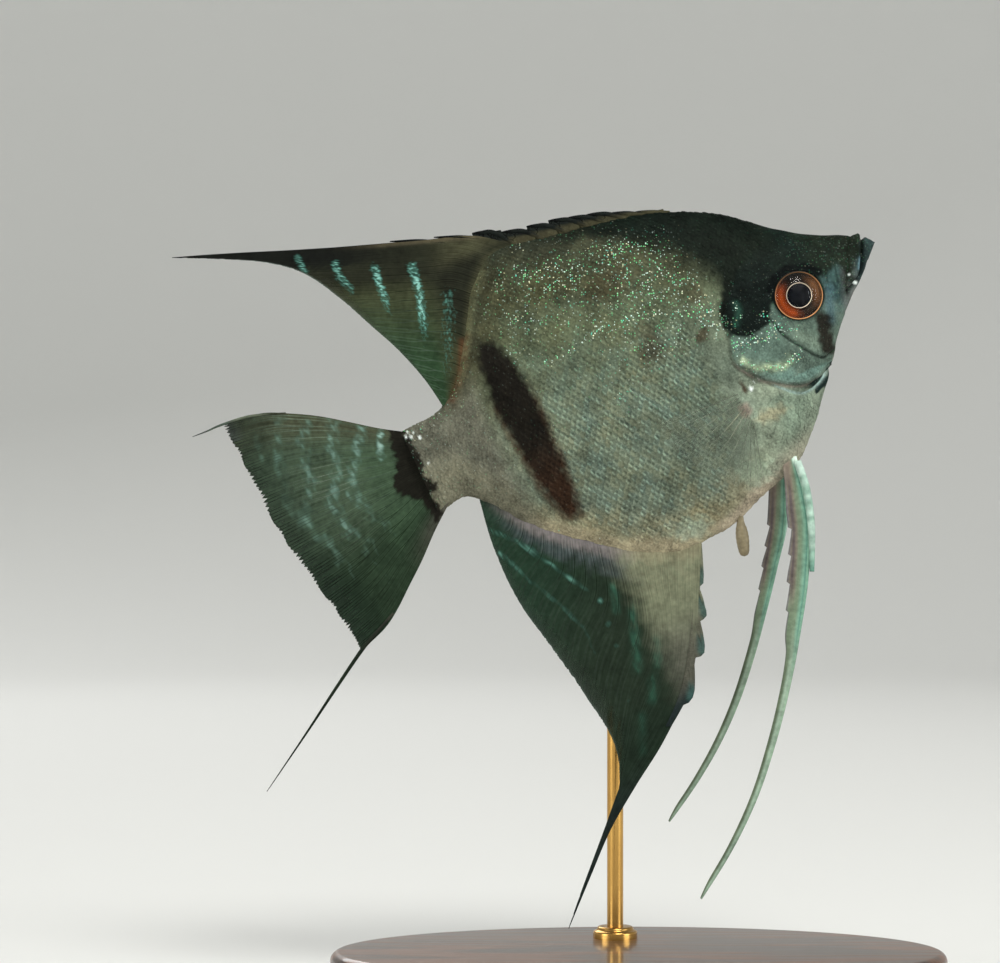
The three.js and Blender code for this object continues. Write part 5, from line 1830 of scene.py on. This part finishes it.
# Each ray: its place across the feeler, how far along it ends and how thick it is.
PELVIC_RAYS = (
    (0.07, 0.9, 0.3), (0.3, 0.55, 0.19), (0.48, 0.36, 0.15), (0.66, 0.33, 0.15), (0.84, 0.28, 0.13),
)


def pelvic_dye(u, v, s, z, ray):
    web = ease(0.5, 0.34, v)
    base = lay_all(
        plain(paint(114, 152, 132), u),
        (paint(108, 124, 102), ease(0.22, 0.45, u)),
        (paint(114, 106, 94), ease(0.48, 0.66, u) * ease(0.36, 0.26, v)),
        (paint(80, 72, 76), 0.85 * bell(u - 0.76, 0.09) * ease(0.34, 0.24, v)),
        (paint(104, 102, 104), 0.8 * ease(0.86, 0.95, u)),
        (paint(62, 112, 102), 0.55 * bell(u - 0.16, 0.045)),
        (paint(140, 128, 114), 0.85 * ease(0.1, 0.0, v) * ease(0.3, 0.55, u)),
        # White at the root of the front edge is a painted highlight where the feeler meets the body.
        (paint(210, 226, 214), ease(0.035, 0.0, v) * ease(0.4, 0.2, u)),
    )
    far = lay(plain(paint(132, 154, 134), u), paint(92, 104, 84), ease(0.45, 0.8, u))
    far = lay(far, paint(150, 166, 150), 0.6 * bell(u - 0.4, 0.15))
    colour = lay(far, base, web)
    return colour, 1.0, 0.0, 0.0, 0.0


def pelvic_spine_dye(u, v, s, z, ray):
    pearl = 0.5 + 0.5 * np.sin(19 * v + 2 * np.sin(31 * v))
    # Paler in bands along the spine and towards its root; the paling at the root is a painted highlight.
    colour = lay(plain(paint(126, 156, 140), u), paint(186, 208, 196), 0.5 * pearl + 0.5 * ease(0.3, 0.0, v))
    return lay(colour, paint(96, 138, 122), ease(0.8, 1.0, v)), 1.0


def pelvic_bits(hand):
    """Web, rays, thread and spine of one feeler, with their colours."""
    shape = PELVICS[hand]
    front, spread_out, width = line(shape["front"]), smooth(shape["spread"]), smooth(shape["width"])
    first, last = shape["teeth"]

    def place(u, v):
        ahead = front(np.minimum(1, v + 0.01)) - front(np.maximum(0, v - 0.01))
        ahead /= np.linalg.norm(ahead, axis=-1, keepdims=True)
        rearward = np.stack([-ahead[..., 1], ahead[..., 0]], -1)
        step = np.clip((v - first) / (last - first), 0, 1) * 4
        tooth = TOOTH_DEEP * (step % 1) * (v > first) * (v < last)
        narrowed = u * (1 - (TOOTH_DEEP - tooth) * ease(0.7, 1, u) * (v > first) * (v < last))
        at = front(v) + rearward * (width(v) * narrowed)[..., None]
        return np.stack([at[..., 0], hand * spread_out(v), at[..., 1]], -1)

    u, v = patch(*PELVIC_STEPS)
    round_off = np.sqrt(np.clip(1 - (2 * u - 1) ** 2, 0, 1))
    web, thread = 0.1 + 0.1 * (1 - u), 0.05 + 0.36 * round_off * (1 - 0.55 * v)
    half = mix(web, thread, ease(0.3, 0.42, v)) * (1 - 0.7 * ease(0.93, 1, v))
    points, faces = sheet(place(u, v), half, *PELVIC_STEPS)
    yield dyed(fin_bit(points, faces, twice(u), twice(v), 0), pelvic_dye)
    for start, end, thick in PELVIC_RAYS:
        v = np.linspace(0.0, end, 90)
        radius = thick * np.interp(v / end, [0, 0.6, 1.0], [1, 0.8, 0.2])
        points, faces, _ = rods(place(np.full(len(v), start), v)[None], radius[None], 8)
        bit = fin_bit(points, faces, np.full(len(points), start), spread(v[None], 8), 1)
        yield dyed(bit, pelvic_dye)
    spine = [[s, hand * side, z] for s, side, z in shape["spine"]]
    yield dyed(free_rod(spine, [0.62, 0.6, 0.55, 0.34], 0.0, sides=12), pelvic_spine_dye)


pelvic_finish = fin_finish_of("feeler", 60.0, 3.0, 0.5, 0.4)
for word, hand in BOTH_SIDES:
    build(f"feeler_{word}", joined(*pelvic_bits(hand)), pelvic_finish, (f"pelvic_fin_{word}",))

# %% Pectoral fins
PECTORAL_RAYS, PECTORAL_STEPS = 11, (122, 50)
pectoral_margin = line([[40.6, -10.2], [40.4, -14], [38.6, -18], [35.6, -22], [32.4, -24.8], [30.2, -25.4]])


def pectoral_place(u, v, hand):
    u, v = np.broadcast_arrays(np.asarray(u, float), np.asarray(v, float))
    start = np.stack([mix(26.2, 27.4, u), mix(-11.2, -15.8, u)], -1)
    at = mix(start, pectoral_margin(u), v[..., None])
    ripples = 0.12 * np.sin(2 * np.pi * PECTORAL_RAYS * u) * v
    out = side_of_body(start[..., 0], start[..., 1]) - 0.9 + 5.2 * v**0.9 + ripples
    return np.stack([at[..., 0], hand * out, at[..., 1]], -1)


def pectoral_dye(u, v, s, z, ray):
    colour = lay_all(
        plain(paint(112, 118, 102), u),
        (paint(122, 132, 114), 0.6 * ray),
        # A golden-white streak on the middle rays is a painted highlight.
        (paint(226, 224, 190), ray * bell(u - 0.45, 0.05) * ease(0.1, 0.25, v) * ease(0.5, 0.35, v)),
        (paint(120, 84, 60), 0.8 * ease(0.07, 0.0, v) * bell(u - 0.5, 0.3)),
    )
    return colour, np.where(ray > 0.5, 0.5 - 0.25 * v, 0.06 + 0.4 * ease(0.1, 0, v))


def pectoral_bits(hand):
    u, v = patch(*PECTORAL_STEPS)
    v = v * (1 - 0.02 * (0.5 + 0.5 * np.cos(2 * np.pi * PECTORAL_RAYS * u)))
    points, faces = sheet(pectoral_place(u, v, hand), 0.04 + 0.2 * (1 - v) ** 4, *PECTORAL_STEPS)
    yield dyed(fin_bit(points, faces, twice(u), twice(v), 0), pectoral_dye)
    for k in range(PECTORAL_RAYS):
        for fork in (-1, 1):
            v = np.linspace(0, 1, 30)
            u = (k + 0.5 + fork * 0.17 * ease(0.45, 0.75, v)) / PECTORAL_RAYS
            radius = 0.09 * (1 - 0.6 * v)
            points, faces, _ = rods(pectoral_place(u, v, hand)[None], radius[None], 6)
            yield dyed(fin_bit(points, faces, spread(u[None], 6), spread(v[None], 6), 1), pectoral_dye)


clear_finish = fin_finish_of("clear fin", 60.0, 3.0, 0.4, 0.2)
for word, hand in BOTH_SIDES:
    build(
        f"pectoral_rays_{word}", joined(*pectoral_bits(hand)), clear_finish,
        (f"pectoral_fin_{word}",),
    )

# %% [markdown]
# ## Breeding tube
#
# A ripe fish shows a short blunt tube under the vent. It is soft, tan and faintly ringed.

# %% Breeding tube
tube_finish, tree, shader = new_finish(
    "tube skin", Specular_IOR_Level=0.25, Coat_Weight=0.05, Coat_Roughness=0.3,
)
tube_colour = use(tree, pigment, Colour=rgba(paint(118, 108, 84)), Fineness=1800.0, Depth=0.35)
matt = scaled(tree, tube_colour["Height"], 0.2, 0.35)
wire(tree, shader, tube_colour["Colour"], matt, tube_colour["Height"])
TUBE_ROOT, TUBE_LONG = (34.95, -27.85), 6.2
tube_radius = smooth([
    [-TUBE_LONG, 0.05], [-6.1, 0.4], [-5.8, 0.68], [-5, 0.86], [-3.4, 0.97], [-2.2, 0.86], [-0.9, 0.55],
    [1.0, 0.5],
])
down = np.linspace(1.0, -TUBE_LONG, 60)
lean_back = math.radians(18)
tube_path = np.column_stack([
    TUBE_ROOT[0] - down * math.sin(lean_back), 0 * down, TUBE_ROOT[1] + down * math.cos(lean_back),
])
tube_rings = tube_radius(down) * (1 + 0.02 * np.sin(9 * down))
points, faces, share = rods(tube_path[None], tube_rings[None], 24)
build("vent_tube", (points, faces, {"along": share}), tube_finish, ("breeding_tube",))

# %% [markdown]
# ## Stand
#
# A swimmer needs something to carry it. The museum way is a thin brass rod from a dark oval
# foot into the far flank, so that the near side stays clear. The foot's edge is rounded over.

# %% Stand shapes
BASE_HALF = (46.0, 28.0)
ROD_AT = (-3.0, 14.0)
ROD_THICK, ROD_HEIGHT, ROD_BEND = 1.25, 84.0, 8.0
BASE_TOP = 5.0


def turned_piece(profile, centre, half=(0.0, 0.0), sides=96):
    """A turned shape from (outwards, up) pairs, closed by discs; half stretches it to an oval."""
    profile = np.array(profile, float)
    angle = 2 * np.pi * np.arange(sides) / sides
    out, up = profile[:, 0][:, None], profile[:, 1][:, None]
    x = centre[0] + (half[0] + out) * np.cos(angle)
    y = centre[1] + (half[1] + out) * np.sin(angle)
    rings = np.stack([x, y, np.broadcast_to(up, x.shape)], -1)
    ends = np.array([[*centre, profile[0, 1]], [*centre, profile[-1, 1]]])
    return np.concatenate([rings.reshape(-1, 3), ends]), tube_faces(len(profile), sides), {}


def rounded(corner, radius, start, end, steps=7):
    """Points of a quarter round about a corner's centre."""
    angles = np.radians(np.linspace(start, end, steps))
    return [(corner[0] + radius * math.cos(a), corner[1] + radius * math.sin(a)) for a in angles]


foot_profile = [*rounded((-0.4, 0.4), 0.4, -90, 0, 4), *rounded((-1.4, BASE_TOP - 1.4), 1.4, 0, 90, 10)]
collar_profile = [
    (3.4, BASE_TOP - 0.02),
    *rounded((3.0, BASE_TOP + 0.8), 0.4, 0, 90, 6),
    *rounded((2.4, BASE_TOP + 1.4), 0.4, 0, 90, 6),
    (ROD_THICK + 0.1, 6.8),
]

# %% Stand finishes
wood_finish, tree, shader = new_finish("stained wood", Coat_Weight=0.55, Coat_Roughness=0.12)
place = add(tree, "TexCoord").outputs["Object"]
stretched = add(tree, "VectorMath", {0: place, 1: (9.0, 90.0, 90.0)}, operation="MULTIPLY").outputs[0]
growth = noise(tree, stretched, 1.0, 4.0, 0.55)
ringed = sum_of(tree, "SINE", times(tree, growth, 46.0))
fine = add(tree, "VectorMath", {0: place, 1: (110.0, 2600.0, 2600.0)}, operation="MULTIPLY").outputs[0]
grain = scaled(tree, ringed, 0.28, noise(tree, fine, 1.0, 3.0))
tones = ramp(tree, grain, (0.2, paint(44, 26, 16)), (0.85, paint(104, 64, 38)))
wire(tree, shader, tones, scaled(tree, grain, 0.15, 0.3), grain, bump=0.2, reach=0.0002)

brass_finish, tree, shader = new_finish("brass", Metallic=1.0)
place = add(tree, "TexCoord").outputs["Object"]
drawn = add(tree, "VectorMath", {0: place, 1: (4000.0, 4000.0, 130.0)}, operation="MULTIPLY").outputs[0]
lines = noise(tree, drawn, 1.0, 3.0)
tarnish = noise(tree, place, 160.0, 4.0)
brassy = blend(tree, tarnish, rgba(paint(214, 172, 98)), rgba(paint(166, 122, 62)))
wire(tree, shader, brassy, scaled(tree, lines, 0.16, 0.16), lines, bump=0.15, reach=0.00005)

# %% Foot, rod and collar
foot = turned_piece(foot_profile, (0.0, 0.0), BASE_HALF, 180)
build("stand_foot", foot, wood_finish, ("stand_base",), fish=False, crease=40)
entry = FISH.inverted() @ Vector((ROD_AT[0] * MM, 0, ROD_HEIGHT * MM)) / MM
flank = float(side_of_body(-entry.x, entry.z))
t = np.linspace(0, 1, 16)[:, None]
far_out, bend_from = ROD_AT[1], ROD_HEIGHT - ROD_BEND
corner = np.array([[far_out, bend_from], [far_out, ROD_HEIGHT], [far_out - ROD_BEND, ROD_HEIGHT]])
curve = (1 - t) ** 2 * corner[0] + 2 * t * (1 - t) * corner[1] + t**2 * corner[2]
upright = np.column_stack([np.full(30, far_out), np.linspace(1.2, bend_from, 31)[:-1]])
inwards = np.column_stack([np.linspace(corner[2, 0], flank - 3, 9)[1:], np.full(8, ROD_HEIGHT)])
walk = np.concatenate([upright, curve, inwards])
rod_path = np.column_stack([np.full(len(walk), ROD_AT[0]), walk])
points, faces, _ = rods(rod_path[None], np.full((1, len(walk)), ROD_THICK), 32, aside=(1.0, 0.0, 0.0))
build("stand_rod_bent", (points, faces, {}), brass_finish, ("stand_rod",), fish=False, crease=50)
collar = turned_piece(collar_profile, ROD_AT, sides=72)
build("stand_ring", collar, brass_finish, ("stand_collar",), fish=False, crease=40)

# %% [markdown]
# ## Studio
#
# A matt bowl that curves up from the floor gives an even pale ground from every side, with no
# horizon. Soft lights stand in front, above and behind, as for a catalogue picture.

# %% Backdrop
BOWL_SIDES = 96
backdrop_finish, tree, shader = new_finish("backdrop", Roughness=0.9)
cloth = noise(tree, None, 3.0, 3.0)
pale = blend(tree, cloth, rgba((0.66, 0.66, 0.64)), rgba((0.72, 0.72, 0.7)))
wire(tree, shader, pale)
curve_up = [(0.8 + 0.6 * math.sin(a), 0.6 - 0.6 * math.cos(a)) for a in np.linspace(0, math.pi / 2, 24)]
bowl_profile = np.array([(0.4, 0.0), *curve_up, (1.4, 2.0)])
bowl_out, bowl_up = bowl_profile[:, :1], bowl_profile[:, 1:]
angle = 2 * np.pi * np.arange(BOWL_SIDES) / BOWL_SIDES
bowl = [bowl_out * np.cos(angle), bowl_out * np.sin(angle), np.repeat(bowl_up, BOWL_SIDES, 1)]
bowl_points = np.concatenate([np.stack(bowl, -1).reshape(-1, 3), [[0, 0, 0]]])
walls, floor, _ = tube_faces(len(bowl_profile), BOWL_SIDES)
bowl_faces = [f[::-1] for f in [*walls.tolist(), *floor.tolist()]]
bowl_mesh = bpy.data.meshes.new("backdrop")
bowl_mesh.from_pydata(bowl_points.tolist(), [], bowl_faces)
bowl_mesh.shade_smooth()
backdrop = placed("backdrop", bowl_mesh)
backdrop.data.materials.append(backdrop_finish)
backdrop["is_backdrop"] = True

# %% Lights
AIM = Vector((-0.012, 0.0, 0.078))


def softbox(name, place, size, power, tint=(1.0, 1.0, 1.0)):
    """A square soft light aimed at the fish."""
    data = bpy.data.lights.new(name, "AREA")
    data.size, data.energy, data.color = size, power, tint
    lamp = placed(name, data)
    lamp.location = place
    lamp.rotation_euler = (AIM - Vector(place)).to_track_quat("-Z", "Y").to_euler()
    return lamp


softbox("key", (0.18, -0.45, 0.85), 0.4, 7.0, (1.0, 0.99, 0.96))
softbox("left", (-0.85, -0.5, 0.2), 0.5, 4.0, (0.97, 1.0, 0.99))
softbox("right", (0.85, -0.45, 0.25), 0.5, 4.0, (0.97, 1.0, 0.99))
softbox("rim", (-0.35, 0.7, 0.6), 0.5, 3.0)
world = bpy.data.worlds.new("studio")
world.use_nodes = True
world.node_tree.nodes["Background"].inputs["Color"].default_value = (0.9, 0.93, 0.95, 1)
world.node_tree.nodes["Background"].inputs["Strength"].default_value = 0.35
bpy.context.scene.world = world
bpy.context.scene.view_settings.view_transform = "Standard"

# %% [markdown]
# ## Sizes
#
# The last cell prints the box of the finished model beside the box of the solids, so a piece
# that has grown too large shows at once.

# %% Sizes and finish
final_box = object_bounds()
boxes = {"cad": [list(p) for p in cad_box], "visual": [list(p) for p in final_box]}
print("boxes:", {k: [[round(x * 1000, 1) for x in p] for p in v] for k, v in boxes.items()})
